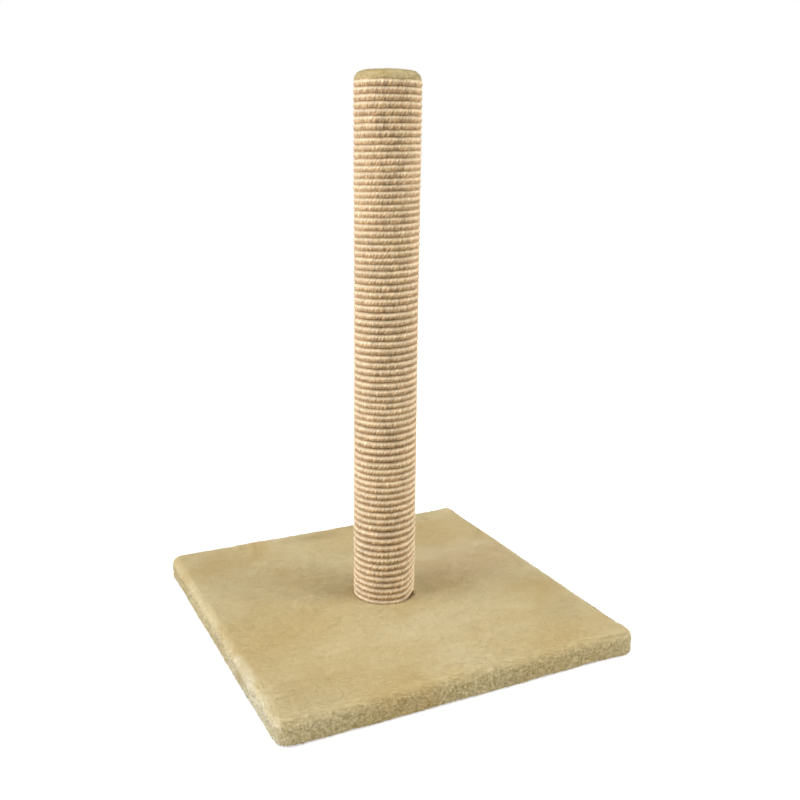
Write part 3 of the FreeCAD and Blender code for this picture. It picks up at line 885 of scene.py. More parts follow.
@dataclass
class PlushBase:
    """The plush over the base board: top, rounded sides and stapled hem, with its pile.

    Sizes come from the boxes of the board, the cover and the tube.
    """

    finish: bpy.types.Material
    tree: PileTree
    corner_radius: float = 15 * MM
    top_rounding: float = 9.5 * MM
    bottom_rounding: float = 3 * MM
    hem_width: float = 42 * MM
    hem_lip: tuple[tuple[float, float], ...] = ((2 * MM, 0.0), (0.4 * MM, 0.3 * MM))
    ground_inset: float = 0.6 * MM
    grid_cells: int = 190
    wave: float = 0.7 * MM
    wave_scale: float = 22.0
    swell: float = 0.4 * MM
    swell_scale: float = 75.0
    crumb: float = 0.16 * MM
    clump: float = 0.6 * MM
    crumb_scale: float = 260.0
    hem_wave: float = 1.1 * MM
    hem_wave_scale: float = 38.0
    hem_wave_height: float = 9 * MM
    seat_edge: float = 2.6 * MM
    seat_inset: float = 0.8 * MM
    seat_gap: float = 0.1 * MM
    corner_gather: float = 2.6 * MM
    gather_inset: float = 6 * MM
    gather_reach: float = 11 * MM
    corner_bulge: float = 3.4 * MM
    bulge_reach: float = 22 * MM
    near_reach: float = 26 * MM
    side_tuck: float = 1.3 * MM
    bare_edge: float = 1.5 * MM
    top_pile: tuple[float, float] = (0.45, 0.45)
    side_pile: tuple[float, float] = (0.60, 0.38)
    # the pile_height given to the cloth's ground and hem, which the finish turns into painted shade
    ground_height: float = 0.78
    hem_height: float = 0.6
    # painted light: how much lighter the sides are made than the top
    side_tone: float = 0.07
    staple_row: float = 171 * MM
    staples_per_side: int = 8
    staple_dimple: float = 1.7 * MM
    staple_half: float = 4 * MM
    staple_reach: float = 6.5 * MM
    staple_width: float = 3.2 * MM
    mitre_depth: float = 2.4 * MM
    mitre_width: float = 1.5 * MM
    low: Vector = field(default_factory=lambda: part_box("base_cover")[0])
    high: Vector = field(default_factory=lambda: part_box("base_cover")[1])
    board_low: Vector = field(default_factory=lambda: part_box("base_board")[0])
    board_high: Vector = field(default_factory=lambda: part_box("base_board")[1])
    post_radius: float = field(default_factory=lambda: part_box("cap_cover")[1][0])
    post_foot: float = field(default_factory=lambda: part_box("post_tube")[0][2])

    def ring(self, offset: float, level: float) -> np.ndarray:
        """Points evenly round a square that is grown or shrunk by an offset from the grid's edge.

        Args:
            offset: how far outside the grid's edge the ring runs; its corners have that radius.
            level: the ring's height.

        Returns:
            An array of points, four times the grid's cells, from the low corner anticlockwise.
        """
        radius = max(offset, 1e-9)
        half = self.high[0] - self.corner_radius + offset
        straight = 2 * (half - radius)
        bend = radius * math.pi / 4
        points = []
        for step in range(self.grid_cells):
            travel = (straight + 2 * bend) * step / self.grid_cells
            if travel < bend:
                angle = -3 * math.pi / 4 + travel / radius
                x = -half + radius + radius * math.cos(angle)
                y = -half + radius + radius * math.sin(angle)
            elif travel > bend + straight:
                angle = -math.pi / 2 + (travel - bend - straight) / radius
                x = half - radius + radius * math.cos(angle)
                y = -half + radius + radius * math.sin(angle)
            else:
                x, y = -half + radius + travel - bend, -half
            points.append((x, y, level))
        side = np.array(points)
        turned = [side]
        for _ in range(3):
            side = np.column_stack((-side[:, 1], side[:, 0], side[:, 2]))
            turned.append(side)
        return np.concatenate(turned)

    def section(self) -> list[tuple[float, float, Cloth]]:
        """Draw the cloth's section outside the grid.

        Returns:
            Offset from the grid's edge, level and part of the cloth for each ring, from the top
            over the side and under the hem to the inside of the cloth on the board.
        """
        outside = self.corner_radius - self.ground_inset
        crest = self.high[2] - self.ground_inset
        round_top, round_low = self.top_rounding, self.bottom_rounding
        places = [((outside - round_top) * share, crest, Cloth.TOP) for share in (0.33, 0.67)]
        places += [(outside - round_top + round_top * across,
                    crest - round_top + round_top * up, Cloth.SIDE)
                   for across, up in arc(math.pi / 2, 0.0, 8)]
        places += [(outside, (crest - round_top) * (1 - step / 9) + round_low * (step / 9),
                    Cloth.SIDE) for step in range(1, 9)]
        places += [(outside - round_low + round_low * across,
                    round_low + round_low * up, Cloth.SIDE)
                   for across, up in arc(0.0, -math.pi / 2, 4)]
        hem_edge = self.corner_radius - self.hem_width
        row = self.staple_row - self.high[0] + self.corner_radius
        places += [(row + step * MM, 0.0, Cloth.HEM)
                   for step in (9.0, 6.0, 4.0, 3.0, 2.0, 1.0, 0.0, -1.0, -2.0, -3.0, -4.0)]
        places += [(hem_edge + out, rise, Cloth.HEM) for out, rise in self.hem_lip]
        under, top = self.board_low[2], self.board_high[2]
        board = self.corner_radius - (self.high[0] - self.board_high[0])
        places += [(hem_edge, under / 2, Cloth.INSIDE), (hem_edge, under, Cloth.INSIDE),
                   (board, under, Cloth.INSIDE), (board, top, Cloth.INSIDE)]
        return places

    def sag(self, x: float, y: float) -> float:
        """Press the cloth's ground down under the post.

        Args:
            x: place across.
            y: place in depth.

        Returns:
            How far the ground lies under the crest there.
        """
        reach = math.hypot(x, y) - self.post_radius + self.seat_inset
        pressed = self.high[2] - self.ground_inset - self.post_foot + self.seat_gap
        return pressed * ease(1 - reach / self.seat_edge)

    def dimple(self, x: float, y: float) -> float:
        """Pull the hem up at the staples and along the mitres.

        Args:
            x: place across.
            y: place in depth.

        Returns:
            The height of the hem's face above the floor there.
        """
        along, across = sorted((abs(x), abs(y)))
        spacing = 2 * self.staple_row / self.staples_per_side
        nearest = (math.floor(along / spacing) + 0.5) * spacing
        half = self.staple_half
        beside = max(0.0, abs(along - nearest) - half) / (self.staple_reach - half)
        away = abs(across - self.staple_row) / self.staple_width
        share = max(0.0, 1 - math.hypot(beside, away))
        groove = max(0.0, 1 - (across - along) / self.mitre_width)
        return max(self.staple_dimple * math.sqrt(share), self.mitre_depth * groove)

    def relief(self, place: Vector, facing: float) -> float:
        """How far the nap stands up or lies down.

        Args:
            place: a point of the cloth.
            facing: how far the cloth faces upwards there, 1 on top and 0 at the sides.

        Returns:
            The distance along the cloth's normal.
        """
        wave = noise.noise(place * self.wave_scale) * self.wave
        swell = noise.noise(place * self.swell_scale + Vector((3.1, 0.0, 0.0))) * self.swell
        height = self.clump + (self.crumb - self.clump) * abs(facing)
        crumbs = noise.noise(place * self.crumb_scale) * height
        return wave + swell + crumbs

    def ground(self) -> tuple[bpy.types.Object, list[Cloth]]:
        """Make the cloth itself: a closed skin over the board with its folded hem.

        Returns:
            The cloth's object, and the part of the cloth that each of its points belongs to.
        """
        cells = self.grid_cells
        half = self.high[0] - self.corner_radius
        crest = self.high[2] - self.ground_inset
        axis = np.linspace(-half, half, cells + 1)
        row = cells + 1
        points = [(x, y, crest - self.sag(x, y)) for y in axis for x in axis]
        parts = [Cloth.TOP] * len(points)
        faces = [(first, first + 1, first + row + 1, first + row)
                 for line in range(cells) for first in range(line * row, line * row + cells)]
        last = [*range(cells)] + [line * row + cells for line in range(cells)]
        last += [cells * row + cells - column for column in range(cells)]
        last += [(cells - line) * row for line in range(cells)]
        for offset, level, part in self.section():
            ring = self.ring(offset, level)
            if part is Cloth.HEM:
                ring[:, 2] += [self.dimple(x, y) for x, y, _ in ring]
            numbers = list(range(len(points), len(points) + len(ring)))
            faces += band(last, numbers)
            points.extend(tuple(point) for point in ring)
            parts += [part] * len(ring)
            last = numbers
        faces += fan(last, len(points))
        points.append((0.0, 0.0, self.board_high[2]))
        parts.append(Cloth.INSIDE)
        cover = mesh_object("base_plush", np.array(points), faces)
        self.ruffle(cover.data, parts)
        cover.data.materials.append(self.finish)
        return cover, parts

    def ruffle(self, mesh: bpy.types.Mesh, parts: Sequence[Cloth]) -> None:
        """Move the top and sides by the relief of the nap and wave the foot of the sides.

        Args:
            mesh: the cloth's mesh.
            parts: the part of the cloth that each point belongs to.
        """
        inset = self.gather_inset
        far_corner = Vector((self.high[0] - inset, self.high[1] - inset, self.high[2]))
        right_corner = Vector((self.high[0], self.low[1]))
        near_corner = Vector((self.low[0], self.low[1]))
        places, normals = mesh_arrays(mesh)
        for i, part in enumerate(parts):
            place = Vector(places[i])
            under_post = math.hypot(place.x, place.y) < self.post_radius
            if part in (Cloth.HEM, Cloth.INSIDE) or (part is Cloth.TOP and under_post):
                continue
            places[i] += normals[i] * self.relief(place, normals[i][2])
            places[i][2] += self.corner_gather * fade(place - far_corner, self.gather_reach)
            bulge = self.corner_bulge * fade(place.xy - right_corner, self.bulge_reach)
            places[i][:2] += np.array((bulge, -bulge)) * math.sqrt(0.5)
            if part is Cloth.SIDE:
                near = fade(place.xy - near_corner, self.near_reach)
                tuck = self.side_tuck * max(0.0, 1 - place.z / self.high[2])
                places[i][0] += tuck * (1 + near) * ease(-normals[i][0])
                places[i][1] += tuck * near * ease(-normals[i][1])
                foot = max(0.0, 1 - place.z / self.hem_wave_height)
                uneven = 0.5 + 1.4 * near + noise.noise(place * self.hem_wave_scale)
                places[i][2] += foot * self.hem_wave * uneven
            places[i][2] = max(places[i][2], 0.0)
        mesh.vertices.foreach_set("co", places.ravel())
        mesh.update()

    @staticmethod
    def share_of(facing: float, edge: tuple[float, float]) -> float:
        """How far a place is past a pile's edge, given as the facing where it starts and its width."""
        return ease((facing - edge[0]) / edge[1])

    def build(self) -> list[bpy.types.Object]:
        """Make the cloth and its pile and say what they stand for.

        Returns:
            The cloth, the pile on top and the pile on the sides.
        """
        ground, parts = self.ground()
        places, normals = mesh_arrays(ground.data)
        on_top, on_side = [], []
        for part, (x, y, z), (_, _, facing) in zip(parts, places, normals):
            covered = math.hypot(x, y) < self.post_radius + self.bare_edge
            bare = covered or part in (Cloth.HEM, Cloth.INSIDE)
            on_top.append(0.0 if bare else self.share_of(facing, self.top_pile))
            standing = not bare and z >= self.bare_edge
            on_side.append(1 - self.share_of(facing, self.side_pile) if standing else 0.0)
        # the ground and hem get painted shade through their pile_height
        store(ground.data, "pile_height", [
            self.hem_height if part is Cloth.HEM else self.ground_height for part in parts])
        # painted light: the cloth's sides made lighter than its top
        store(ground.data, "tuft_tone", [
            self.side_tone * (1 - abs(facing)) for _, _, facing in normals])
        store_way(ground.data, normals)
        top = self.tree.stand(ground, "base_top_pile", self.finish, on_top, 11, density=400000.0,
                              tuft_length=1.6 * MM, tuft_width=0.28 * MM, brushing=1.0, parting=0.35,
                              droop=0.4, side_tone=self.side_tone, mottling=0.9)
        side = self.tree.stand(ground, "base_side_pile", self.finish, on_side, 12, density=400000.0,
                               tuft_length=1.5 * MM, tuft_width=0.34 * MM, brushing=0.2, parting=1.2,
                               droop=1.3, side_tone=self.side_tone, mottling=0.9)
        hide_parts("base_cover")
        for piece in (ground, top, side):
            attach(piece, BODY)
        return [ground, top, side]


# ---------------------------------------------------------------- rope


class RopeTree(GeometryGraph):
    """The tree that lays three twisted strands along a path and presses the turns together."""

    sides: int = 24
    strands: int = 3
    stray_scale: float = 45.0
    lump_scale: float = 330.0

    def __init__(self) -> None:
        """Build the tree."""
        super().__init__("laid_rope", "Radius", "Lay Length", "Groove", "Ring Spacing", "Roughness",
                         "Squareness", "Unevenness", "Length Before", "Start Flare", "End Flare",
                         "Flare Length")
        curve = self.add("GeometryNodeMeshToCurve", {"Mesh": self.given("Geometry")})
        even = self.add("GeometryNodeResampleCurve", {
            "Curve": curve, "Length": self.given("Ring Spacing")}, mode="LENGTH")
        upright = self.add("GeometryNodeSetCurveNormal", {"Curve": even}, mode="Z_UP")
        parameter = self.add("GeometryNodeSplineParameter")
        length = self.plus(self.out(parameter, "Length"), self.given("Length Before"))
        sample = self.joined(X=self.times(length, self.stray_scale))
        uneven = self.add("ShaderNodeTexNoise", {"Vector": sample, "Scale": 1.0, "Detail": 2.0})
        strayed = self.maths("MULTIPLY_ADD", self.out(uneven, "Fac"), self.given("Unevenness"), length)
        twist = self.times(self.maths("DIVIDE", strayed, self.given("Lay Length")), -2 * math.pi)
        laid = self.add("GeometryNodeSetCurveTilt", {"Curve": upright, "Tilt": twist})
        path = self.capture(laid, Along=length, Centre=self.place(), Flare=self.flare(parameter))
        profile = self.profile()
        rope = self.add("GeometryNodeCurveToMesh", {
            "Curve": self.out(path, "Geometry"), "Profile Curve": self.out(profile, "Geometry"),
            "Fill Caps": True})
        rope = self.store(rope, "along", self.out(path, "Along"))
        rope = self.store(rope, "lay_height", self.out(profile, "Crown"))
        rope = self.store(rope, "around", self.out(profile, "Across"))
        self.close(self.roughen(self.press(rope, self.out(path, "Centre"), self.out(path, "Flare"))))

    def flare(self, parameter: bpy.types.Node) -> bpy.types.Node:
        """Spread the rope's fibres towards its cut ends.

        Args:
            parameter: the spline parameter node of the rope's path.

        Returns:
            A node that gives 1 away from the ends and a little more at them.
        """
        length = self.out(parameter, "Length")
        factor = self.maths("MAXIMUM", self.out(parameter, "Factor"), 1e-6)
        whole = self.maths("DIVIDE", length, factor)
        total: Any = 1.0
        for distance, size in ((length, "Start Flare"), (self.minus(whole, length), "End Flare")):
            near = self.minus(1.0, self.maths("DIVIDE", distance, self.given("Flare Length")))
            held = self.maths("POWER", self.maths("MAXIMUM", near, 0.0), 2.0)
            total = self.plus(total, self.times(held, self.given(size)))
        return total

    def profile(self) -> bpy.types.Node:
        """Draw the section of the round strands.

        Returns:
            A node that gives the section, with each point's height in its strand and place across it.
        """
        circle = self.add("GeometryNodeCurvePrimitiveCircle", {
            "Resolution": self.sides, "Radius": 1.0})
        index = self.out(self.add("GeometryNodeInputIndex"))
        share = self.sides / self.strands
        across = self.minus(self.maths("DIVIDE", self.maths("MODULO", index, share), share), 0.5)
        crown = self.maths("ABSOLUTE", self.maths("COSINE", self.times(across, math.pi)))
        dip = self.times(self.given("Groove"), self.minus(1.0, crown))
        lobes = self.scaled(self.place(), self.times(self.minus(1.0, dip), self.given("Radius")))
        section = self.add("GeometryNodeSetPosition", {"Geometry": circle, "Position": lobes})
        return self.capture(section, Crown=crown, Across=across)

    def press(self, rope: Any, centre: Any, flare: Any) -> bpy.types.Node:
        """Square the section off where one turn lies on the next, and spread it at the cut ends.

        Args:
            rope: the node that gives the rope.
            centre: the middle of the section that each point belongs to.
            flare: the section's size there, as a share.

        Returns:
            A node that gives the pressed rope.
        """
        offset = self.vector("SUBTRACT", self.place(), centre)
        reach = self.out(self.vector("LENGTH", offset), "Value")
        unit = self.vector("NORMALIZE", offset)
        slope = self.upward(unit)
        rise = self.maths("ABSOLUTE", slope)
        aside = self.maths("SQRT", self.maths("MAXIMUM", self.minus(1.0, self.times(rise, rise)), 0.0))
        power = self.given("Squareness")
        both = self.plus(self.maths("POWER", rise, power), self.maths("POWER", aside, power))
        fuller = self.maths("POWER", both, self.maths("DIVIDE", -1.0, power))
        spread = self.scaled(unit, self.times(self.times(reach, fuller), flare))
        marked = self.store(rope, "towards_next", slope)
        return self.add("GeometryNodeSetPosition", {
            "Geometry": marked, "Position": self.vector("ADD", centre, spread)})

    def roughen(self, rope: Any) -> bpy.types.Node:
        """Make the strands uneven.

        Args:
            rope: the node that gives the rope.

        Returns:
            A node that gives the uneven rope.
        """
        lumps = self.noise(self.lump_scale, 4.0, roughness=0.6)
        rise = self.times(self.minus(self.out(lumps, "Fac"), 0.5), self.given("Roughness"))
        push = self.scaled(self.add("GeometryNodeInputNormal"), rise)
        return self.add("GeometryNodeSetPosition", {"Geometry": rope, "Offset": push})


class FibreTree(GeometryGraph):
    """The tree that scatters loose curved fibres over the rope."""

    def __init__(self) -> None:
        """Build the tree."""
        super().__init__("loose_fibres", "Density", "Fibre Length", "Fibre Radius")
        spots = self.add("GeometryNodeDistributePointsOnFaces", {
            "Mesh": self.given("Geometry"), "Density": self.given("Density"),
            "Seed": self.given("Seed")})
        length = self.given("Fibre Length")
        bow = self.add("GeometryNodeCurveQuadraticBezier", {
            "Resolution": 3, "Start": (0.0, 0.0, 0.0),
            "Middle": self.joined(X=self.times(length, 0.5), Z=self.times(length, 0.2)),
            "End": self.joined(X=length, Z=self.times(length, 0.1))})
        thin = self.add("GeometryNodeCurvePrimitiveCircle", {
            "Resolution": 3, "Radius": self.given("Fibre Radius")})
        fibre = self.add("GeometryNodeCurveToMesh", {"Curve": bow, "Profile Curve": thin})
        spin = self.joined(Y=self.random(-0.45, 0.12, 3), Z=self.random(0.0, 2 * math.pi, 1))
        turn = self.add("FunctionNodeRotateRotation", {
            "Rotation": self.out(spots, "Rotation"), "Rotate By": spin}, rotation_space="LOCAL")
        self.close(self.add("GeometryNodeInstanceOnPoints", {
            "Points": self.out(spots, "Points"), "Instance": self.store(fibre, "lay_height", 1.0),
            "Rotation": turn, "Scale": self.random(0.4, 1.3, 2)}))


@dataclass
class RopeWinding:
    """One long three-strand rope, wound upwards round the tube and cut into four lengths.

    Sizes come from the boxes of the tube and of the lowest and highest lengths.
    """

    finish: bpy.types.Material
    start_angle: float = math.radians(-36.0)
    turns: int = 79
    settling_turns: int = 12
    foot_climb: float = 0.12
    head_climb: float = 0.17
    easy_climb: float = 0.55
    radius: float = 3.85 * MM
    lay_length: float = 10.5 * MM
    groove: float = 0.055
    squareness: float = 2.6
    roughness: float = 0.95 * MM
    unevenness: float = 9 * MM
    ring_spacing: float = 1.3 * MM
    end_flare: float = 0.14
    flare_length: float = 16 * MM
    fibre_density: float = 36000.0
    fibre_length: float = 3.0 * MM
    fibre_radius: float = 0.05 * MM
    points_per_turn: int = 72
    joints: tuple[float, ...] = (20.25, 39.25, 59.25)
    wander: float = 0.16 * MM
    bite: float = 0.1 * MM
    shifts: tuple[tuple[float, float], ...] = (
        (0.0, -0.4), (1.8, -1.8), (4.8, -3.2), (9.8, -2.6), (12.8, -1.0), (17.8, 0.7), (22.8, 1.0),
        (25.8, 3.7), (28.8, 5.6), (32.8, 5.0), (36.8, 6.4), (41.8, 8.6), (45.8, 10.6), (50.8, 11.6),
        (54.8, 10.5), (58.8, 9.4), (62.8, 7.2), (66.8, 4.5), (70.8, 2.4), (74.8, 1.3), (79.0, 0.3))
    tube_radius: float = field(default_factory=lambda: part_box("post_tube")[1][0])
    bottom: float = field(default_factory=lambda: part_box("sisal_rope_1")[0][2])
    top: float = field(default_factory=lambda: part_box("sisal_rope_4")[1][2])

    def level(self, turns: float) -> float:
        """Work out the rope's height, level at both ends and with a hand winder's uneven spacing.

        Args:
            turns: how many turns are wound up to there.

        Returns:
            The height of the rope's middle.
        """
        whole = math.floor(turns)
        part = turns - whole
        lower = max(0.0, 1 - whole / self.settling_turns)
        upper = max(0.0, 1 - (self.turns - 1 - whole) / self.settling_turns) if part else 0.0
        flat_then_climb = ease((part - 1 + self.foot_climb) / self.foot_climb)
        climb = self.head_climb + (self.easy_climb - self.head_climb) * (1 - upper)
        climb_then_flat = ease(part / climb)
        lift = lower * (flat_then_climb - part) + upper * (climb_then_flat - part)
        first, last = self.bottom + self.radius, self.top - self.radius
        shift = float(np.interp(turns, *zip(*self.shifts))) * MM
        return first + (last - first) / self.turns * (turns + lift) + shift

    def path(self, start: float, end: float) -> np.ndarray:
        """Points along the rope's middle.

        Args:
            start: the turn to start from.
            end: the turn to end at.

        Returns:
            An array of points.
        """
        count = round((end - start) * self.points_per_turn)
        points = []
        for turns in np.linspace(start, end, count + 1):
            angle = self.start_angle + 2 * math.pi * turns
            drift = Vector((math.cos(angle) * 2, math.sin(angle) * 2, turns * 0.9))
            out = self.tube_radius + self.radius - self.bite + noise.noise(drift) * self.wander
            level = self.level(turns) + noise.noise(drift + Vector((7, 0, 0))) * self.wander
            points.append((out * math.cos(angle), out * math.sin(angle), level))
        return np.array(points)

    def build(self) -> list[bpy.types.Object]:
        """Make the four lengths and the loose fibres on them.

        Returns:
            Each length, followed by its fibres.
        """
        ends = (0.0, *self.joints, float(self.turns))
        laid, fuzz = RopeTree(), FibreTree()
        pieces = []
        before = 0.0
        for number, (start, end) in enumerate(zip(ends, ends[1:]), 1):
            points = self.path(start, end)
            route = mesh_object("rope_route", points, [], [(i, i + 1) for i in range(len(points) - 1)])
            rope = laid.run(
                route, f"rope_length_{number}", self.finish, number, radius=self.radius,
                lay_length=self.lay_length, groove=self.groove, ring_spacing=self.ring_spacing,
                roughness=self.roughness, squareness=self.squareness, unevenness=self.unevenness,
                length_before=before, start_flare=self.end_flare * (start == 0),
                end_flare=self.end_flare * (end == self.turns), flare_length=self.flare_length)
            before += float(np.linalg.norm(np.diff(points, axis=0), axis=1).sum())
            fibres = fuzz.run(
                shown("fibre_source", rope.data.copy()), f"rope_fibres_{number}", self.finish,
                20 + number, density=self.fibre_density, fibre_length=self.fibre_length,
                fibre_radius=self.fibre_radius)
            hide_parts(f"sisal_rope_{number}")
            for piece in (rope, fibres):
                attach(piece, BODY)
                pieces.append(piece)
        return pieces


# ---------------------------------------------------------------- cap


@dataclass
class PostCap:
    """The plush cap: round-shouldered, drawn in under the top turn of the rope."""

    finish: bpy.types.Material
    tree: PileTree
    around: int = 144
    inset: float = 0.7 * MM
    shoulder: float = 10 * MM
    shoulder_height: float = 8.5 * MM
    folds: int = 13
    fold_depth: float = 0.55 * MM
    fold_height: float = 11 * MM
    rim_drop: float = 1.2 * MM
    rim_roll: tuple[Triple, ...] = ((0.4 * MM, 0.0, 1.0), (2 * MM, 0.8 * MM, 0.5))
    tuck_drop: float = 0.9 * MM
    seam_width: float = 9 * MM
    clearance: float = 0.2 * MM
    # the pile_height of the cap's ground, which the finish turns into painted shade
    ground_height: float = 0.78
    swell: float = 0.5 * MM
    swell_scale: float = 60.0
    crumb: float = 0.25 * MM
    crumb_scale: float = 240.0
    low: Vector = field(default_factory=lambda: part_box("cap_cover")[0])
    high: Vector = field(default_factory=lambda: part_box("cap_cover")[1])
    disc_low: Vector = field(default_factory=lambda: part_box("cap_disc")[0])
    disc_high: Vector = field(default_factory=lambda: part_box("cap_disc")[1])
    tube_radius: float = field(default_factory=lambda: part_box("post_tube")[1][0])

    def section(self) -> list[tuple[float, float, float]]:
        """Draw the cap's section.

        Returns:
            Radius, level and share of pile, from the top's middle out and down and back inside.
        """
        top, wide = self.high[2] - self.inset, self.high[0] - self.inset
        places = [(wide * share, top, 1.0) for share in (0.1, 0.2, 0.3, 0.4, 0.5, 0.6)]
        places += [(wide - self.shoulder + self.shoulder * across,
                    top - self.shoulder_height * (1 - up), 1.0)
                   for across, up in arc(math.pi / 2, 0.0, 10)]
        rim = top - self.shoulder_height - self.rim_drop
        tuck, foot = self.tube_radius + self.clearance, self.low[2] + self.clearance / 2
        inside = self.disc_high[0] - self.seam_width
        places += [(wide - in_by, rim - down, weight) for in_by, down, weight in self.rim_roll]
        places += [(tuck, rim - self.tuck_drop, 0.0), (tuck, foot, 0.0)]
        places += [(inside, foot, 0.0), (inside, self.disc_low[2], 0.0)]
        places += [(self.disc_high[0], level, 0.0) for level in (self.disc_low[2], self.disc_high[2])]
        return places

    def ground(self) -> tuple[bpy.types.Object, list[float]]:
        """Make the cap's cloth.

        Returns:
            The cloth's object, and the share of pile on each of its points.
        """
        points = [(0.0, 0.0, self.high[2] - self.inset)]
        pile = [1.0]
        faces = []
        last: list[int] = []
        for radius, level, weight in self.section():
            start = len(points)
            drop = min(1.0, max(0.0, (self.high[2] - level) / self.fold_height)) * weight
            for step in range(self.around):
                angle = 2 * math.pi * step / self.around
                fold = math.sin(self.folds * angle + 3 * math.sin(angle * 2 + 1))
                reach = radius + self.fold_depth * fold * drop
                points.append((reach * math.cos(angle), reach * math.sin(angle), level))
                pile.append(weight)
            ring = list(range(start, start + self.around))
            middle = [(0, ring[i], ring[(i + 1) % self.around]) for i in range(self.around)]
            faces += band(last, ring) if last else middle
            last = ring
        faces += fan(last, len(points))
        points.append((0.0, 0.0, self.disc_high[2]))
        pile.append(0.0)
        cap = mesh_object("cap_plush", np.array(points), faces)
        places, normals = mesh_arrays(cap.data)
        for i, weight in enumerate(pile):
            place = Vector(places[i])
            lift = noise.noise(place * self.swell_scale) * self.swell
            lift += noise.noise(place * self.crumb_scale) * self.crumb
            places[i] += normals[i] * (lift * weight)
        cap.data.vertices.foreach_set("co", places.ravel())
        cap.data.update()
        cap.data.materials.append(self.finish)
        store(cap.data, "pile_height", [self.ground_height] * len(pile))
        store_way(cap.data, mesh_arrays(cap.data)[1])
        return cap, pile

    def build(self) -> list[bpy.types.Object]:
        """Make the cap's cloth and its pile.

        Returns:
            The cloth and the pile.
        """
        cap, pile = self.ground()
        # the cap's sides get painted light through the side setting
        nap = self.tree.stand(cap, "cap_pile", self.finish, pile, 5, density=560000.0,
                              tuft_length=1.3 * MM, tuft_width=0.32 * MM, brushing=0.6, parting=0.6,
                              droop=0.9, side_tone=0.14, mottling=0.9)
        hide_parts("cap_cover")
        for piece in (cap, nap):
            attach(piece, BODY)
        return [cap, nap]


# ---------------------------------------------------------------- carried-over pieces


class Hardware:
    """The pieces whose shapes are the frame's own, each with its finish."""

    def __init__(self) -> None:
        """Choose a finish for each node."""
        steel = MetalFinish("zinc_plated_steel", srgb(190, 190, 186), srgb(150, 150, 148)).material()
        wire = MetalFinish("galvanised_wire", srgb(176, 176, 172), srgb(140, 138, 132)).material()
        brass = MetalFinish("turned_brass", srgb(198, 168, 96), srgb(160, 130, 70)).material()
        timber, board = TimberFinish().material(), BoardFinish().material()
        self.finishes = {
            "base_board": board, "hem_staples": wire, "post_bolt": steel, "bolt_washer": steel,
            "threaded_insert": brass, "lower_plug": timber, "lower_plug_nails": steel,
            "post_tube": PaperFinish().material(), "upper_plug": timber, "upper_plug_nails": steel,
            "cap_disc": timber, "cap_screw": steel,
        }

    def dress(self) -> None:
        """Give each node its finish."""
        for node, material in self.finishes.items():
            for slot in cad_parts[node].material_slots:
                slot.material = material
            log.info("dressed %s", node)


# ---------------------------------------------------------------- studio


class Side(Enum):
    """Where a soft lamp stands round the object."""

    LEFT = "left"
    RIGHT = "right"
    ABOVE = "above"
    FRONT = "front"


@dataclass(frozen=True)
class SoftLamp:
    """A soft lamp: its way from the post, and its light on what faces it, 1 being full light."""

    side: Side
    way: Triple
    level: float
    colour: Colour


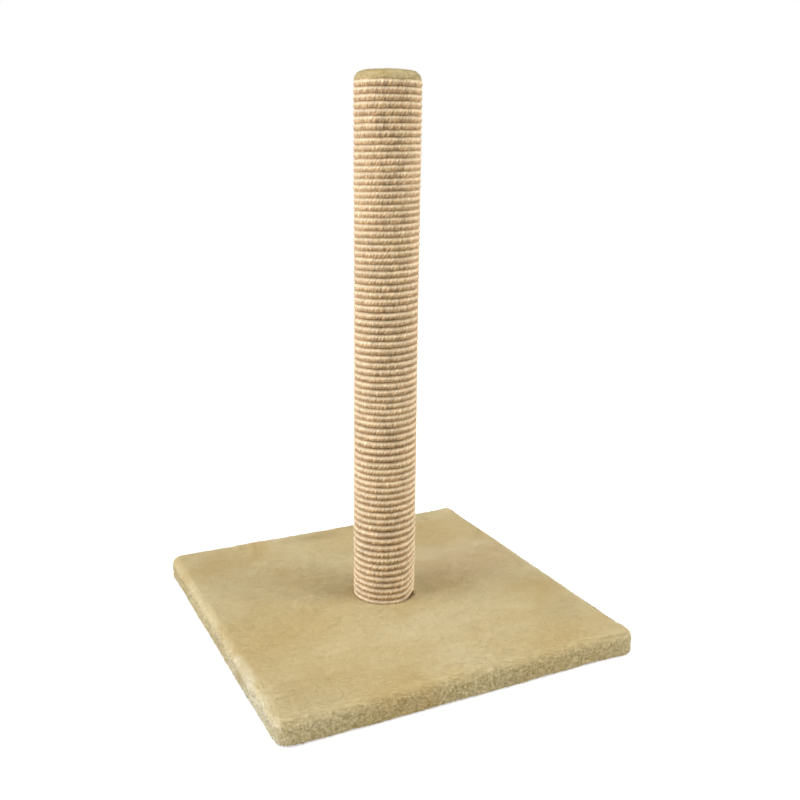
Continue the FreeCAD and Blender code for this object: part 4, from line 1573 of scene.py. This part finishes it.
@dataclass
class Studio:
    """Floor, background, lamps and camera."""

    camera_place: Vector = field(default_factory=lambda: Vector((-0.4394, -0.9108, 0.5255)))
    heading: float = math.radians(-26.675)
    pitch: float = math.radians(14.785)
    roll: float = math.radians(0.682)
    focal_length: float = 42.22
    floor_half: float = 12.0
    floor_drop: float = 0.1 * MM
    floor_tone: float = 0.7
    floor_glow: float = 0.5
    shadow_start: float = 0.3
    shadow_end: float = 1.1
    sky: float = 0.30
    lamp_distance: float = 3.0
    lamp_width: float = 4.2
    lamp_height: float = 0.9
    lamp_aim: float = 0.28
    lamps: tuple[SoftLamp, ...] = (
        SoftLamp(Side.LEFT, (-0.94, 0.195, 0.22), 1.12, (0.97, 1.0, 1.19)),
        SoftLamp(Side.RIGHT, (0.91, -0.24, 0.22), 0.92, (0.99, 1.0, 1.10)),
        SoftLamp(Side.FRONT, (-0.40, -0.83, 0.40), 0.10, (1.0, 0.93, 0.80)),
        SoftLamp(Side.ABOVE, (-0.05, -0.13, 1.00), 0.86, (1.0, 0.99, 0.93)))

    def seen_directly(self, graph: Graph) -> bpy.types.Node:
        """Tell the rays that see the background from those that light the object.

        Args:
            graph: the tree to build in.

        Returns:
            A node that gives 1 for the first and 0 for the second.
        """
        rays = graph.add("ShaderNodeLightPath")
        seen = graph.out(rays, "Is Camera Ray")
        for kind in ("Is Glossy Ray", "Is Transmission Ray"):
            seen = graph.maths("MAXIMUM", seen, graph.out(rays, kind))
        return seen

    def world(self) -> None:
        """Make the white background, which lights the object at a plain level."""
        world = bpy.data.worlds.new("studio")
        world.use_nodes = True
        world.node_tree.nodes.clear()
        g = Graph(world.node_tree)
        lit = g.add("ShaderNodeBackground", {"Color": (1, 1, 1, 1), "Strength": self.sky})
        white = g.add("ShaderNodeBackground", {"Color": (1, 1, 1, 1), "Strength": 1.0})
        both = g.add("ShaderNodeMixShader", {"Fac": self.seen_directly(g), 1: lit, 2: white})
        g.add("ShaderNodeOutputWorld", {"Surface": both})
        bpy.context.scene.world = world

    def floor(self) -> None:
        """Lay a white floor that keeps the object's shadow near it and runs out to plain white."""
        h, z = self.floor_half, -self.floor_drop
        corners = np.array([(-h, -h, z), (h, -h, z), (h, h, z), (-h, h, z)])
        floor = mesh_object("studio_floor", corners, [(0, 1, 2, 3)])
        material = bpy.data.materials.new("studio_floor")
        material.use_nodes = True
        material.node_tree.nodes.clear()
        g = Graph(material.node_tree)
        place = g.out(g.add("ShaderNodeTexCoord"), "Object")
        away = g.add("ShaderNodeMapRange", {
            "Value": g.out(g.vector("LENGTH", place), "Value"), "From Min": self.shadow_start,
            "From Max": self.shadow_end, "To Min": self.floor_glow, "To Max": 1.0})
        tone = self.floor_tone
        paint = g.add("ShaderNodeBsdfDiffuse", {"Color": (tone, tone, tone, 1.0)})
        glow = g.add("ShaderNodeEmission", {"Color": (1, 1, 1, 1), "Strength": away})
        bright = g.add("ShaderNodeAddShader", {0: paint, 1: glow})
        g.add("ShaderNodeOutputMaterial", {"Surface": g.add("ShaderNodeMixShader", {
            "Fac": self.seen_directly(g), 1: paint, 2: bright})})
        floor.data.materials.append(material)

    def hang(self, lamp: SoftLamp) -> None:
        """Hang a lamp that is aimed at the middle of the post.

        Args:
            lamp: what to hang.
        """
        data = bpy.data.lights.new(f"softbox_{lamp.side.value}", "AREA")
        data.shape = "RECTANGLE"
        data.color = lamp.colour
        data.size, data.size_y = self.lamp_width, self.lamp_height
        data.energy = lamp.level * (math.pi * self.lamp_distance) ** 2
        hung = bpy.data.objects.new(data.name, data)
        towards = Vector(lamp.way).normalized()
        hung.location = Vector((0, 0, self.lamp_aim)) + towards * self.lamp_distance
        hung.rotation_euler = towards.to_track_quat("Z", "Y").to_euler()
        hung.visible_camera = False
        bpy.context.scene.collection.objects.link(hung)

    def camera(self) -> None:
        """Place the camera of the photograph, worked out from the edges of the base and the post."""
        forward = Vector((-math.sin(self.heading) * math.cos(self.pitch),
                          math.cos(self.heading) * math.cos(self.pitch), -math.sin(self.pitch)))
        level_right = forward.cross(Vector((0, 0, 1))).normalized()
        level_up = level_right.cross(forward)
        right = level_right * math.cos(self.roll) + level_up * math.sin(self.roll)
        up = level_up * math.cos(self.roll) - level_right * math.sin(self.roll)
        data = bpy.data.cameras.new("camera")
        data.lens = self.focal_length
        data.sensor_width = 36.0
        camera = bpy.data.objects.new("camera", data)
        turned = Matrix((right, up, -forward)).transposed().to_4x4()
        camera.matrix_world = Matrix.Translation(self.camera_place) @ turned
        bpy.context.scene.collection.objects.link(camera)
        bpy.context.scene.camera = camera

    def build(self) -> None:
        """Set the whole studio up."""
        self.world()
        self.floor()
        for lamp in self.lamps:
            self.hang(lamp)
        self.camera()
        bpy.context.scene.view_settings.view_transform = "Standard"


def main() -> None:
    """Build the object piece by piece and report each."""
    Studio().build()
    plush = PlushFinish().material()
    sisal = SisalFinish().material()
    tree = PileTree()
    made = PlushBase(plush, tree).build()
    made += RopeWinding(sisal).build()
    made += PostCap(plush, tree).build()
    Hardware().dress()
    for piece in made:
        triangles = sum(len(face.vertices) - 2 for face in piece.data.polygons)
        log.info("%s: %d triangles", piece.name, triangles)


if __name__ == "__main__":
    main()
